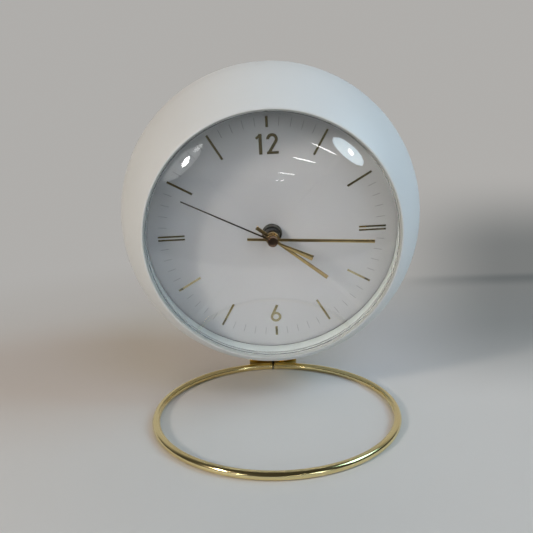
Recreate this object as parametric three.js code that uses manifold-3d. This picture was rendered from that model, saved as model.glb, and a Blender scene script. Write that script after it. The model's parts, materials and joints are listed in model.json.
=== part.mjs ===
// Ball table clock on a brass rod ring, with a quartz movement behind its dial.
// Millimetres, +Z up. The dial looks towards -Y and the clock stands on its ring.
import * as THREE from 'three';
import { mergeVertices } from 'three/addons/utils/BufferGeometryUtils.js';
import Module from 'manifold-3d';

const wasm = await Module();
wasm.setup();

// Clearances
const seatGap = 0.3; // between two pieces that seat on each other
const runGap = 0.3; // round a shaft that turns

// Stand
const ringRadius = 66; // to the centre line of the rod
const rodRadius = 2.1;
const rodSides = 12;
const rodSteps = 48;
const ringSeam = 0.7; // slit between the two rod ends
const leanDegrees = 9.8; // the neck and the ball lean forward
const neckLength = 17.8; // from the rod's centre line to the shell
const bracketWidth = 31.6;
const bracketSheet = 2;
const padDepth = 27; // the curved pad under the ball, front to back
const webDrop = 1.9; // the web reaches this far below the rod's centre line

// Screws of the bracket
const bracketScrewSpread = 9; // each side of the middle
const bracketScrewAhead = 6;
const bracketScrewRadius = 1.5;
const bracketScrewLength = 10;
const bracketHeadRadius = 2.8;
const bracketHeadHeight = 2;
const screwHoleGap = 0.3;
const bracketBossWall = 2;
const bracketBossHeight = 7;

// Shell of the ball
const shellRadius = 88;
const shellWall = 2.2;
const seamAhead = -20; // where the front and rear shells meet, behind the ball's middle
const lapLength = 5;
const lapWall = 1.5;

// Mouth and lens
const mouthRadius = 66;
const rimRound = 0.9; // the rounding of the shell's edge round the mouth
const lensSeatWidth = 2.5;
const lensWall = 2;
const lensRise = 11;
const lensSink = 0.5; // the dome starts this far behind the middle of the rounding
const lensFlange = 2;

// Ring wall between the lens and the dial, a little wider than the mouth and wider still behind
const wallRingDepth = 11;
const wallRingFrontInset = 0.9;
const wallRingBackInset = 2.5;
const wallRingGap = 0.8; // between its front edge and the shell

// Dial
const dialSheet = 1.5;
const dialMargin = 1; // between the dial's edge and the shell
const dialRollDegrees = -1.66; // the dial is seated a little out of true
const dialScrewCount = 4;
const dialScrewRadius = 1;
const dialScrewLength = 5;
const dialScrewHeadRadius = 1.9;
const dialScrewHeadHeight = 1.4;
const dialBossRadius = 2.2;

// Cover over the rear opening
const openingRadius = 52;
const coverGap = 0.4;
const ledgeDepth = 3.8; // from the shell's edge in to the ledge
const ledgeWidth = 4;
const ledgeSheet = 2;
const coverSpigotWall = 1.7;
const coverSpigotLength = 5;
const nailNotchWidth = 18;
const nailNotchDepth = 3.2;

// Movement case: its width comes from the cell and its height from the cell, the train and the coil
const caseFrontDepth = 5;
const caseRearDepth = 12.2;
const caseWall = 1.5;
const cellBayWall = 1.7; // under the cell
const trainClearance = 0.625; // between the hour wheel and the wall over the cell
const gasketRadius = 9;
const gasketSheet = 0.8;
const threadRadius = 4; // the threaded neck through the dial
const threadReach = 4.7; // above the dial's face
const washerRadius = 5.5;
const washerSheet = 0.5;
const nutRadius = 5.3;
const nutHeight = 2.4;

// Cell and contacts
const cellRadius = 7.1;
const cellLength = 49.2;
const cellNubRadius = 2.7;
const cellNubLength = 1.3;
const cellClearance = 0.4;
const contactSheet = 0.4;
const contactSize = 10;
const contactRoom = 0.55; // behind each contact

// Shafts, one inside the other
const secondShaftRadius = 0.75;
const tubeWall = 0.7;
const hourTubeWall = 0.5;

// Heights of the hands above the dial's face
const hourHandHeight = 10.2;
const minuteHandHeight = 11.8;
const secondHandHeight = 13.7;
const handSheet = 0.5;
const handCollarWall = 0.7;
const hourCollarDrop = 1.4; // from the blade's back to the collar's end
const minuteCollarDrop = 0.4;
const hubCapHeight = 2.6;
const hubCapRadius = 2.7;
const hubCapRoof = 0.8;

// Hands, seen from the front, clockwise from twelve
const hourHandDegrees = 129.2;
const minuteHandDegrees = 94;
const secondHandDegrees = 297.2;

// Wheels: teeth and pitch radii; those of the hour and centre wheels come from their partners
const toothHeight = 0.45;
const wheelSheet = 0.8;
const pinionSheet = 1.2;
const wheelGap = 0.3; // between the tips of two wheels that work together
const trainStep = 2.4; // from the minute pinion back to the centre wheel
const clutchFlangeWidth = 0.8; // the flange that holds the centre wheel on its arbor
const clutchFlangeSheet = 0.4;
const minutePinionTeeth = 12;
const minutePinionRadius = 2.8;
const motionWheelTeeth = 36;
const motionWheelRadius = 8.4;
const motionPinionTeeth = 10;
const motionPinionRadius = 2.25;
const hourWheelTeeth = 40;
const secondWheelTeeth = 60;
const secondWheelRadius = 6.3;
const secondPinionTeeth = 8;
const secondPinionRadius = 1.25;
const thirdWheelTeeth = 64;
const thirdWheelRadius = 6.95;
const thirdPinionTeeth = 8;
const thirdPinionRadius = 1.25;
const centreWheelTeeth = 60;
const stepWheelTeeth = 36;
const stepWheelRadius = 4.8;
const stepPinionTeeth = 12;
const stepPinionRadius = 1.3;
const rotorPinionTeeth = 6;
const rotorPinionRadius = 1;
const rotorMagnetRadius = 2.6;
const rotorMagnetHeight = 1.6;
const pivotRadius = 0.6;
const motionShaftRadius = 1.2;

// Directions of the wheels' centres from the hands' axis, clockwise from twelve
const motionWheelDegrees = 285;
const thirdWheelDegrees = 75;
const stepWheelDegrees = 350;
const rotorDegrees = 320;

// Setting knob
const knobRadius = 6;
const knobHeight = 5.5;
const knobGrips = 18;
const knobGripDepth = 0.6;

// Motor and circuit
const statorSheet = 1;
const statorWidth = 7;
const statorLength = 30;
const statorLegWidth = 5;
const statorShift = 7.5; // from the rotor to the middle of the stator
const magnetGap = 0.6; // between the magnet and the stator
const coilRadius = 3.6;
const coilLength = 17;
const coilCoreRadius = 1.1;
const coilCoreLength = 27;
const coilGap = 1.16; // between the coil and the stator's bar
const coilTopRoom = 1.4; // between the coil and the case
const boardWidth = 34;
const boardHeight = 11;
const boardSheet = 0.8;
const crystalRadius = 1;
const crystalLength = 6;
const crystalAside = 8.5; // right of the hands' axis

// Facets
const shellSteps = 48; // round the ball
const frontArcSteps = 9; // from the seam to the mouth
const rearArcSteps = 6; // from the seam to the opening
const coverArcSteps = 6;
const lensArcSteps = 5;
const rimSteps = 4;
const trimSteps = 48; // round a ball that only trims a boss or the pad
const smallSteps = 20;
const pinSteps = 12;

const cutBeyond = 1; // how far a cutter runs past the face that it opens
const degrees = Math.PI / 180;

// Places worked out from the sizes, all measured ahead of the ball's middle
const shellInside = shellRadius - shellWall;
const insideRadiusAt = (ahead) => Math.sqrt(shellInside ** 2 - ahead ** 2);
const insideAheadAt = (radius) => Math.sqrt(shellInside ** 2 - radius ** 2);
const outsideAheadAt = (radius) => Math.sqrt(shellRadius ** 2 - radius ** 2);
const lensSeatRadius = mouthRadius + lensSeatWidth;
const lensSeatAhead = insideAheadAt(lensSeatRadius);
const lensFlangeFront = lensSeatAhead - seatGap;
const lensFlangeBack = lensFlangeFront - lensFlange;
const wallRingFront = lensFlangeBack - seatGap;
const wallRingBack = wallRingFront - wallRingDepth;
const wallRingOuter = insideRadiusAt(wallRingFront) - wallRingGap;
const dialFront = wallRingBack - seatGap;
const dialBack = dialFront - dialSheet;
const dialRadius = insideRadiusAt(dialFront) - dialMargin;
const dialScrewCircle = (wallRingOuter + insideRadiusAt(dialFront)) / 2;
const gasketFront = dialBack - seatGap;
const caseFront = gasketFront - gasketSheet - seatGap;
const caseMiddle = caseFront - caseFrontDepth;
const rearCaseFront = caseMiddle - seatGap;
const caseBack = rearCaseFront - caseRearDepth;
const cavityFront = caseFront - caseWall;
const cavityBack = caseBack + caseWall;
const cellAhead = caseBack + cellClearance + cellRadius;
const minuteTubeInner = secondShaftRadius + runGap;
const minuteTubeOuter = minuteTubeInner + tubeWall;
const hourTubeInner = minuteTubeOuter + runGap;
const hourTubeOuter = hourTubeInner + hourTubeWall;
const threadBore = hourTubeOuter + runGap;
const lean = leanDegrees * degrees;
const dialRoll = dialRollDegrees * degrees;
const ledgeAhead = -(outsideAheadAt(openingRadius) - ledgeDepth);
const ledgeBore = openingRadius - ledgeWidth;

// Levels of the wheels, from the dial side to the back
const hourWheelAhead = cavityFront - seatGap - wheelSheet;
const minutePinionAhead = hourWheelAhead - seatGap - pinionSheet;
const centreWheelAhead = minutePinionAhead - trainStep;
const clutchFlangeAhead = centreWheelAhead - seatGap - clutchFlangeSheet;
const stepWheelAhead = clutchFlangeAhead - wheelSheet;
const secondWheelAhead = stepWheelAhead - seatGap - wheelSheet;
const thirdWheelAhead = secondWheelAhead - seatGap * 2 - wheelSheet;
const statorAhead = stepWheelAhead + wheelSheet + seatGap * 2;

// Metal and plastic finishes
const finishes = {
  brassPlate: [0xc9a455, 0.22, 1],
  whitePaint: [0xe9ebe8, 0.45, 0],
  whitePlastic: [0xe4e6e6, 0.5, 0],
  dialWhite: [0xd9dade, 0.7, 0],
  lensGlass: [0xe8f2f2, 0.05, 0],
  handBrass: [0xa98a4a, 0.35, 1],
  darkNickel: [0x4d4a44, 0.35, 1],
  blackPlastic: [0x1d1e20, 0.55, 0],
  clearPlastic: [0xd8d6cc, 0.5, 0],
  steel: [0xa8a9ab, 0.35, 1],
  rubber: [0x26262a, 0.85, 0],
  copper: [0xb06a3a, 0.4, 1],
  board: [0x2f6a46, 0.6, 0],
  cellSleeve: [0x7a7f86, 0.4, 0],
  magnet: [0x3a3a3d, 0.5, 1],
};

// Takes a geometry down to merged corners and faces that point out.
function tidy(geometry) {
  const bare = geometry.clone();
  for (const name of Object.keys(bare.attributes)) {
    if (name !== 'position') bare.deleteAttribute(name);
  }
  const merged = mergeVertices(bare, 1e-4);
  const corners = merged.index.array;
  const kept = [];
  for (let i = 0; i < corners.length; i += 3) {
    const [a, b, c] = [corners[i], corners[i + 1], corners[i + 2]];
    if (a !== b && b !== c && c !== a) kept.push(a, b, c);
  }
  const outward = signedVolume(merged.attributes.position, kept) > 0;
  merged.setIndex(outward ? kept : kept.reverse());
  return merged;
}

function signedVolume(position, corners) {
  const [a, b, c] = [new THREE.Vector3(), new THREE.Vector3(), new THREE.Vector3()];
  let volume = 0;
  for (let i = 0; i < corners.length; i += 3) {
    a.fromBufferAttribute(position, corners[i]);
    b.fromBufferAttribute(position, corners[i + 1]);
    c.fromBufferAttribute(position, corners[i + 2]);
    volume += a.dot(b.cross(c)) / 6;
  }
  return volume;
}

function solid(geometry) {
  const clean = tidy(geometry);
  return new wasm.Manifold(new wasm.Mesh({
    numProp: 3,
    vertProperties: new Float32Array(clean.attributes.position.array),
    triVerts: new Uint32Array(clean.index.array),
  }));
}

function geometryOf(manifold) {
  const mesh = manifold.getMesh();
  const geometry = new THREE.BufferGeometry();
  geometry.setAttribute('position', new THREE.BufferAttribute(mesh.vertProperties, 3));
  geometry.setIndex(new THREE.BufferAttribute(mesh.triVerts, 1));
  return geometry;
}

const joined = (...geometries) => geometryOf(geometries.map(solid).reduce((a, b) => a.add(b)));

function cut(geometry, ...cutters) {
  return geometryOf(cutters.map(solid).reduce((body, cutter) => body.subtract(cutter), solid(geometry)));
}

const common = (a, b) => geometryOf(solid(a).intersect(solid(b)));

// Turns a closed profile about the clock's axis; its points are [radius, ahead].
function turned(profile, steps = smallSteps) {
  const points = profile.map(([radius, ahead]) => new THREE.Vector2(Math.max(radius, 0), -ahead));
  points.push(points[0].clone());
  return tidy(new THREE.LatheGeometry(points, steps));
}

// Points on a circle round the clock's axis, between two places along that axis.
function axisArc(radius, fromAhead, toAhead, steps, centreAhead = 0) {
  const from = Math.asin(THREE.MathUtils.clamp((fromAhead - centreAhead) / radius, -1, 1));
  const to = Math.asin(THREE.MathUtils.clamp((toAhead - centreAhead) / radius, -1, 1));
  return Array.from({ length: steps + 1 }, (_, i) => {
    const angle = from + ((to - from) * i) / steps;
    return [radius * Math.cos(angle), centreAhead + radius * Math.sin(angle)];
  });
}

// A rod or a drilling along the clock's axis.
function rod(radius, fromAhead, toAhead, [x, z] = [0, 0], steps = smallSteps) {
  const length = Math.abs(toAhead - fromAhead);
  const geometry = new THREE.CylinderGeometry(radius, radius, length, steps);
  return geometry.translate(x, -(fromAhead + toAhead) / 2, z);
}

// A sheet with its outline seen from the front, x to the right and z up.
function sheet(shape, fromAhead, thickness) {
  const geometry = new THREE.ExtrudeGeometry(shape, { depth: thickness, bevelEnabled: false });
  return geometry.rotateX(Math.PI / 2).translate(0, -fromAhead, 0);
}

// A block between two places along the clock's axis.
function block(width, height, fromAhead, toAhead, [x, z] = [0, 0]) {
  const geometry = new THREE.BoxGeometry(width, Math.abs(toAhead - fromAhead), height);
  return geometry.translate(x, -(fromAhead + toAhead) / 2, z);
}

function outline(points) {
  return new THREE.Shape(points.map(([x, z]) => new THREE.Vector2(x, z)));
}

// A point at a clock direction, in degrees clockwise from twelve.
function clockPoint(radius, clockwise, [x, z] = [0, 0]) {
  const angle = clockwise * degrees;
  return [x + radius * Math.sin(angle), z + radius * Math.cos(angle)];
}

// A toothed disc: the teeth are plain points, half above and half below the pitch radius.
function toothed(pitchRadius, teeth, fromAhead, thickness, centre = [0, 0]) {
  const tip = pitchRadius + toothHeight / 2;
  const root = pitchRadius - toothHeight / 2;
  const points = [];
  for (let i = 0; i < teeth * 2; i += 1) {
    points.push(clockPoint(i % 2 ? root : tip, (i * 180) / teeth, centre));
  }
  return sheet(outline(points), fromAhead, thickness);
}

const workingDistance = (a, b) => a + b + toothHeight + wheelGap;

function material(finish) {
  const [color, roughness, metalness] = finishes[finish];
  return new THREE.MeshStandardMaterial({ color, roughness, metalness });
}

function add(group, name, finish, geometry) {
  const mesh = new THREE.Mesh(geometry, material(finish));
  mesh.name = name;
  group.add(mesh);
}

// Ring: one rod bent round, its two ends facing each other at the back
class RingLine extends THREE.Curve {
  getPoint(t, target = new THREE.Vector3()) {
    const halfSlit = ringSeam / 2 / ringRadius;
    const angle = Math.PI / 2 + halfSlit + t * (2 * Math.PI - 2 * halfSlit);
    return target.set(ringRadius * Math.cos(angle), ringRadius * Math.sin(angle), rodRadius);
  }
}

function ringRod() {
  const corner = rodRadius / Math.cos(Math.PI / rodSides);
  const section = Array.from({ length: rodSides }, (_, i) => {
    const angle = ((i + 0.5) * 2 * Math.PI) / rodSides;
    return [corner * Math.cos(angle), corner * Math.sin(angle)];
  });
  return tidy(new THREE.ExtrudeGeometry(outline(section), {
    steps: rodSteps,
    bevelEnabled: false,
    extrudePath: new RingLine(),
  }));
}

// Bracket: a curved pad under the ball on a flat web that is brazed behind the rod ends
const padInside = shellRadius + seatGap;
const padOutside = padInside + bracketSheet;

function bracketScrewSpots() {
  return [-1, 1].map((side) => [side * bracketScrewSpread, -bracketScrewAhead]);
}

// An upright rod in the ball's frame, for the bracket's screws and their holes.
function upright(radius, low, high, [x, y], steps = smallSteps) {
  const geometry = new THREE.CylinderGeometry(radius, radius, high - low, steps);
  return geometry.rotateX(Math.PI / 2).translate(x, y, (low + high) / 2);
}

// A ball that trims a pad or a boss to the round of the shell.
function trimBall(radius) {
  return new THREE.SphereGeometry(radius, trimSteps, trimSteps);
}

function neckBracket() {
  const ballInside = trimBall(padInside);
  const ballOutside = trimBall(padOutside);
  const padBox = new THREE.BoxGeometry(bracketWidth, padDepth, padOutside).translate(0, 0, -padOutside);
  const webFront = rodRadius + seatGap;
  const webHigh = -padInside;
  const webLow = -(shellRadius + neckLength) - webDrop;
  const web = new THREE.BoxGeometry(bracketWidth, bracketSheet, webHigh - webLow);
  web.translate(0, webFront + bracketSheet / 2, (webHigh + webLow) / 2);
  const holes = bracketScrewSpots().map((spot) =>
    upright(bracketScrewRadius + screwHoleGap, -padOutside - cutBeyond, -padInside / 2, spot));
  return cut(joined(common(ballOutside, padBox), web), ballInside, ...holes);
}

// Height of the screw heads' upper face, under the pad
const bracketHeadTop = -(padOutside + seatGap);

function bracketScrew(spot) {
  const insideHead = bracketHeadTop - bracketHeadHeight / 2;
  return joined(
    upright(bracketHeadRadius, bracketHeadTop - bracketHeadHeight, bracketHeadTop, spot),
    upright(bracketScrewRadius, insideHead, bracketHeadTop + bracketScrewLength, spot, pinSteps),
  );
}

// Front shell: the ball from its mouth back to the seam, with bosses for the dial and the bracket
const rimRadius = mouthRadius + rimRound;
const rimAhead = Math.sqrt((shellRadius - rimRound) ** 2 - rimRadius ** 2);
const rimSlope = Math.atan2(rimRadius, rimAhead);

// The rounded edge, from where it leaves the ball to the straight wall of the mouth
function rimArc() {
  const sweep = rimSlope + Math.PI / 2;
  return Array.from({ length: rimSteps + 1 }, (_, i) => {
    const angle = rimSlope - (i * sweep) / rimSteps;
    return [rimRadius + rimRound * Math.sin(angle), rimAhead + rimRound * Math.cos(angle)];
  });
}

function dialScrewSpots() {
  return Array.from({ length: dialScrewCount }, (_, i) =>
    clockPoint(dialScrewCircle, ((i + 0.5) * 360) / dialScrewCount));
}

function frontShell() {
  const seam = seamAhead + seatGap / 2;
  const profile = [
    ...axisArc(shellRadius, seam, shellRadius * Math.cos(rimSlope), frontArcSteps).slice(0, -1),
    ...rimArc(),
    [mouthRadius, lensSeatAhead],
    ...axisArc(shellInside, lensSeatAhead, seam, frontArcSteps),
  ];
  const middleOfWall = trimBall(shellInside + shellWall / 2);
  const dialBosses = dialScrewSpots().map((spot) =>
    common(rod(dialBossRadius, dialFront + seatGap, shellRadius, spot, pinSteps), middleOfWall));
  const dialHoles = dialScrewSpots().map((spot) =>
    rod(dialScrewRadius + screwHoleGap, dialBack, dialBack + dialScrewLength + seatGap, spot, pinSteps));
  const bossRadius = bracketScrewRadius + screwHoleGap + bracketBossWall;
  const bossTop = -shellInside + bracketBossHeight;
  const bracketBosses = bracketScrewSpots().map((spot) =>
    common(upright(bossRadius, -shellRadius, bossTop, spot, pinSteps), middleOfWall));
  const bracketHoles = bracketScrewSpots().map((spot) =>
    upright(bracketScrewRadius + screwHoleGap, -padOutside, bossTop + cutBeyond, spot, pinSteps));
  return cut(
    joined(turned(profile, shellSteps), ...dialBosses, ...bracketBosses),
    ...dialHoles,
    ...bracketHoles,
  );
}

// Rear shell: from the seam to the rebated opening, with a lap that centres it in the front shell
function rearShell() {
  const seam = seamAhead - seatGap / 2;
  const lapOuter = insideRadiusAt(seamAhead) - seatGap;
  const lapInner = lapOuter - lapWall;
  const lapBack = seam - lapLength;
  const openingAhead = -outsideAheadAt(openingRadius);
  const ledgeFront = ledgeAhead + ledgeSheet;
  const profile = [
    ...axisArc(shellRadius, seam, openingAhead, rearArcSteps),
    [openingRadius, ledgeAhead],
    [ledgeBore, ledgeAhead],
    [ledgeBore, ledgeFront],
    ...axisArc(shellInside, ledgeFront, lapBack, rearArcSteps),
    [lapInner, lapBack],
    [lapInner, seam + lapLength],
    [lapOuter, seam + lapLength],
    [lapOuter, seam],
  ];
  const notch = block(
    nailNotchWidth,
    nailNotchDepth * 2,
    -shellRadius,
    ledgeAhead - seatGap,
    [0, -openingRadius],
  );
  return cut(turned(profile, shellSteps), notch);
}

// Rear cover: the cap that completes the ball, with a spigot that grips inside the ledge
function rearCover() {
  const edge = openingRadius - coverGap;
  const spigotOuter = ledgeBore - runGap;
  const spigotInner = spigotOuter - coverSpigotWall;
  const seat = ledgeAhead - seatGap;
  const profile = [
    ...axisArc(shellRadius, -shellRadius, -outsideAheadAt(edge), coverArcSteps),
    [edge, seat],
    [spigotOuter, seat],
    [spigotOuter, seat + coverSpigotLength],
    [spigotInner, seat + coverSpigotLength],
    ...axisArc(shellInside, -insideAheadAt(spigotInner), -shellInside, coverArcSteps),
  ];
  return turned(profile, shellSteps);
}

// Lens: a domed glass with a flat flange that seats behind the edge of the mouth
const lensEdge = mouthRadius - seatGap;
const lensDomeStart = rimAhead - lensSink;
const lensCurve = (lensEdge ** 2 + lensRise ** 2) / (2 * lensRise);

function lens() {
  const top = lensDomeStart + lensRise;
  const centre = top - lensCurve;
  const insideEdge = lensEdge - lensWall;
  const insideCurve = lensCurve - lensWall;
  const insideStart = centre + Math.sqrt(insideCurve ** 2 - insideEdge ** 2);
  const flangeRadius = lensSeatRadius - seatGap;
  const profile = [
    ...axisArc(lensCurve, top, lensDomeStart, lensArcSteps, centre),
    [lensEdge, lensFlangeFront],
    [flangeRadius, lensFlangeFront],
    [flangeRadius, lensFlangeBack],
    [insideEdge, lensFlangeBack],
    ...axisArc(insideCurve, insideStart, top - lensWall, lensArcSteps, centre),
  ];
  return turned(profile, shellSteps);
}

// Ring wall: fills the depth between the lens flange and the dial
function wallRing() {
  const frontInner = mouthRadius + wallRingFrontInset;
  const backInner = mouthRadius + wallRingBackInset;
  return turned([
    [wallRingOuter, wallRingBack],
    [wallRingOuter, wallRingFront],
    [frontInner, wallRingFront],
    [backInner, wallRingBack],
  ], shellSteps);
}

// Dial: a sheet held by screws from behind; the print lies on its face
function dial() {
  const back = dialBack - cutBeyond;
  const front = dialFront + cutBeyond;
  const disc = rod(dialRadius, dialBack, dialFront, [0, 0], shellSteps);
  const neckHole = rod(threadRadius + screwHoleGap, back, front);
  const screwHoles = dialScrewSpots().map((spot) =>
    rod(dialScrewRadius + screwHoleGap, back, front, spot, pinSteps).rotateY(-dialRoll));
  return cut(disc, neckHole, ...screwHoles);
}

function dialScrew(spot) {
  const headFront = dialBack - seatGap;
  const headBack = headFront - dialScrewHeadHeight;
  return joined(
    rod(dialScrewHeadRadius, headBack, headFront, spot, pinSteps),
    rod(dialScrewRadius, (headBack + headFront) / 2, headFront + dialScrewLength, spot, pinSteps),
  );
}

// Places of the wheels' centres, and the two wheel sizes that follow from them
const motionDistance = workingDistance(minutePinionRadius, motionWheelRadius);
const motionSpot = clockPoint(motionDistance, motionWheelDegrees);
const hourWheelRadius = minutePinionRadius + motionWheelRadius - motionPinionRadius;
const thirdSpot = clockPoint(workingDistance(secondPinionRadius, thirdWheelRadius), thirdWheelDegrees);
const centreWheelRadius = secondPinionRadius + thirdWheelRadius - thirdPinionRadius;
const stepSpot = clockPoint(workingDistance(secondWheelRadius, stepPinionRadius), stepWheelDegrees);
const rotorSpot = clockPoint(workingDistance(stepWheelRadius, rotorPinionRadius), rotorDegrees, stepSpot);
const [rotorX, rotorZ] = rotorSpot;

// Movement case: two halves with one room for the train and one for the cell
const roomFloor = -(hourWheelRadius + toothHeight / 2 + trainClearance);
const cellDrop = caseWall + cellClearance + cellRadius - roomFloor;
const caseLow = -(cellDrop + cellRadius + cellClearance + cellBayWall);
const coilRise = rotorZ + statorWidth / 2 + coilGap + coilRadius;
const roomTop = coilRise + coilRadius + coilTopRoom;
const caseHeight = roomTop + caseWall - caseLow;
const caseRise = (roomTop + caseWall + caseLow) / 2;
const roomHeight = roomTop - roomFloor;
const roomMiddle = (roomTop + roomFloor) / 2;
const roomWidth = cellLength + cellNubLength + 2 * (seatGap + contactSheet + contactRoom);
const caseWidth = roomWidth + 2 * caseWall;

function frontCase() {
  const neckTop = dialFront + threadReach;
  const body = block(caseWidth, caseHeight, caseMiddle, caseFront, [0, caseRise]);
  const neck = rod(threadRadius, caseFront - caseWall, neckTop);
  const room = block(roomWidth, roomHeight, caseMiddle - cutBeyond, cavityFront, [0, roomMiddle]);
  const bore = rod(threadBore, caseMiddle - cutBeyond, neckTop + cutBeyond);
  return cut(joined(body, neck), room, cellRoom(), bore);
}

function cellRoom() {
  const radius = cellRadius + cellClearance;
  const trough = new THREE.CylinderGeometry(radius, radius, roomWidth, smallSteps);
  return trough.rotateZ(Math.PI / 2).translate(0, -cellAhead, -cellDrop);
}

function rearCase() {
  const back = caseBack - cutBeyond;
  const front = rearCaseFront + cutBeyond;
  const cellHeight = 2 * (cellRadius + cellClearance);
  return cut(
    block(caseWidth, caseHeight, caseBack, rearCaseFront, [0, caseRise]),
    block(roomWidth, roomHeight, cavityBack, front, [0, roomMiddle]),
    block(roomWidth, cellHeight, back, front, [0, -cellDrop]),
    rod(motionShaftRadius + runGap, back, cavityBack + cutBeyond, motionSpot),
  );
}

// Gasket, washer and nut: rings round the threaded neck
const washerBack = dialFront + seatGap;
const nutBack = washerBack + washerSheet + seatGap;

function neckRing(outer, back, thickness) {
  const bore = threadRadius + seatGap;
  const front = back + thickness;
  return turned([[outer, back], [outer, front], [bore, front], [bore, back]]);
}

function cell() {
  const half = cellLength / 2;
  const profile = [
    [0, -half],
    [cellRadius, -half],
    [cellRadius, half],
    [cellNubRadius, half],
    [cellNubRadius, half + cellNubLength],
    [0, half + cellNubLength],
  ];
  const geometry = turned(profile);
  return geometry.rotateZ(Math.PI / 2).translate(-cellNubLength / 2, -cellAhead, -cellDrop);
}

// The contacts stand at the two ends of the cell; side is -1 on the left and 1 on the right.
function contact(side) {
  const inner = cellLength / 2 + cellNubLength / 2 + seatGap;
  const plate = new THREE.BoxGeometry(contactSheet, contactSize, contactSize);
  return plate.translate(side * (inner + contactSheet / 2), -cellAhead, -cellDrop);
}

// Wheels and shafts
const pivotBack = cavityBack + seatGap;

function hourWheel() {
  const high = dialFront + hourHandHeight + handSheet + seatGap;
  return cut(
    joined(
      toothed(hourWheelRadius, hourWheelTeeth, hourWheelAhead, wheelSheet),
      rod(hourTubeOuter, hourWheelAhead, high),
    ),
    rod(hourTubeInner, hourWheelAhead - cutBeyond, high + cutBeyond),
  );
}

function minuteArbor() {
  const high = dialFront + minuteHandHeight + handSheet + seatGap;
  return cut(
    joined(
      toothed(minutePinionRadius, minutePinionTeeth, minutePinionAhead, pinionSheet),
      rod(minuteTubeOuter, clutchFlangeAhead, high),
      rod(minuteTubeOuter + clutchFlangeWidth, clutchFlangeAhead, clutchFlangeAhead + clutchFlangeSheet),
    ),
    rod(minuteTubeInner, clutchFlangeAhead - cutBeyond, high + cutBeyond),
  );
}

function centreWheel() {
  const front = centreWheelAhead + wheelSheet;
  return cut(
    toothed(centreWheelRadius, centreWheelTeeth, centreWheelAhead, wheelSheet),
    rod(minuteTubeOuter + runGap, centreWheelAhead - cutBeyond, front + cutBeyond),
  );
}

const secondShaftTop = dialFront + secondHandHeight + hubCapHeight - hubCapRoof;

function secondArbor() {
  return joined(
    toothed(secondWheelRadius, secondWheelTeeth, secondWheelAhead, wheelSheet),
    toothed(secondPinionRadius, secondPinionTeeth, thirdWheelAhead, wheelSheet),
    rod(secondShaftRadius, pivotBack, secondShaftTop, [0, 0], pinSteps),
  );
}

function thirdWheel() {
  return joined(
    toothed(thirdWheelRadius, thirdWheelTeeth, thirdWheelAhead, wheelSheet, thirdSpot),
    toothed(thirdPinionRadius, thirdPinionTeeth, centreWheelAhead, wheelSheet, thirdSpot),
    rod(pivotRadius, pivotBack, minutePinionAhead, thirdSpot, pinSteps),
  );
}

function stepWheel() {
  return joined(
    toothed(stepWheelRadius, stepWheelTeeth, stepWheelAhead, wheelSheet, stepSpot),
    toothed(stepPinionRadius, stepPinionTeeth, secondWheelAhead, wheelSheet, stepSpot),
    rod(pivotRadius, pivotBack, stepWheelAhead + wheelSheet + seatGap, stepSpot, pinSteps),
  );
}

function rotor() {
  const magnetBack = statorAhead + (statorSheet - rotorMagnetHeight) / 2;
  const magnetFront = magnetBack + rotorMagnetHeight;
  return joined(
    toothed(rotorPinionRadius, rotorPinionTeeth, stepWheelAhead, wheelSheet, rotorSpot),
    rod(rotorMagnetRadius, magnetBack, magnetFront, rotorSpot),
    rod(pivotRadius, pivotBack, magnetFront + seatGap, rotorSpot, pinSteps),
  );
}

function motionWheel() {
  return joined(
    toothed(motionWheelRadius, motionWheelTeeth, minutePinionAhead, pinionSheet, motionSpot),
    toothed(motionPinionRadius, motionPinionTeeth, hourWheelAhead, wheelSheet, motionSpot),
    rod(motionShaftRadius, caseBack - seatGap, hourWheelAhead + wheelSheet, motionSpot, pinSteps),
  );
}

function settingKnob() {
  const back = caseBack - seatGap * 2 - knobHeight;
  const points = [];
  for (let i = 0; i < knobGrips * 2; i += 1) {
    const radius = i % 2 ? knobRadius - knobGripDepth : knobRadius;
    points.push(clockPoint(radius, (i * 180) / knobGrips, motionSpot));
  }
  return sheet(outline(points), back, knobHeight);
}

// Stator: a bar round the rotor with two legs that carry the ends of the coil's core
const statorX = rotorX + statorShift;

function stator() {
  const front = statorAhead + statorSheet;
  const legLow = rotorZ;
  const legHigh = coilRise + coilCoreRadius;
  const legs = [-1, 1].map((side) => {
    const legX = statorX + (side * (statorLength - statorLegWidth)) / 2;
    return block(statorLegWidth, legHigh - legLow, statorAhead, front, [legX, (legLow + legHigh) / 2]);
  });
  const bar = block(statorLength, statorWidth, statorAhead, front, [statorX, rotorZ]);
  const holeRadius = rotorMagnetRadius + magnetGap;
  return cut(joined(bar, ...legs), rod(holeRadius, statorAhead - cutBeyond, front + cutBeyond, rotorSpot));
}

function coil() {
  const winding = new THREE.CylinderGeometry(coilRadius, coilRadius, coilLength, smallSteps);
  const core = new THREE.CylinderGeometry(coilCoreRadius, coilCoreRadius, coilCoreLength, pinSteps);
  const ahead = statorAhead - seatGap - coilCoreRadius;
  return joined(winding, core).rotateZ(Math.PI / 2).translate(statorX, -ahead, coilRise);
}

const boardBack = cavityFront - seatGap - boardSheet;
const boardTop = roomTop - seatGap;

function board() {
  return block(boardWidth, boardHeight, boardBack, boardBack + boardSheet, [0, boardTop - boardHeight / 2]);
}

function crystal() {
  const geometry = new THREE.CylinderGeometry(crystalRadius, crystalRadius, crystalLength, pinSteps);
  const ahead = boardBack - seatGap - crystalRadius;
  const rise = boardTop - boardHeight + seatGap + crystalRadius;
  return geometry.rotateZ(Math.PI / 2).translate(crystalAside, -ahead, rise);
}

// Hands: a flat blade with a tail, on a collar that is pushed over its shaft
function blade(points, height, clockwise) {
  const geometry = sheet(outline(points), dialFront + height, handSheet);
  return geometry.rotateY(clockwise * degrees);
}

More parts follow.
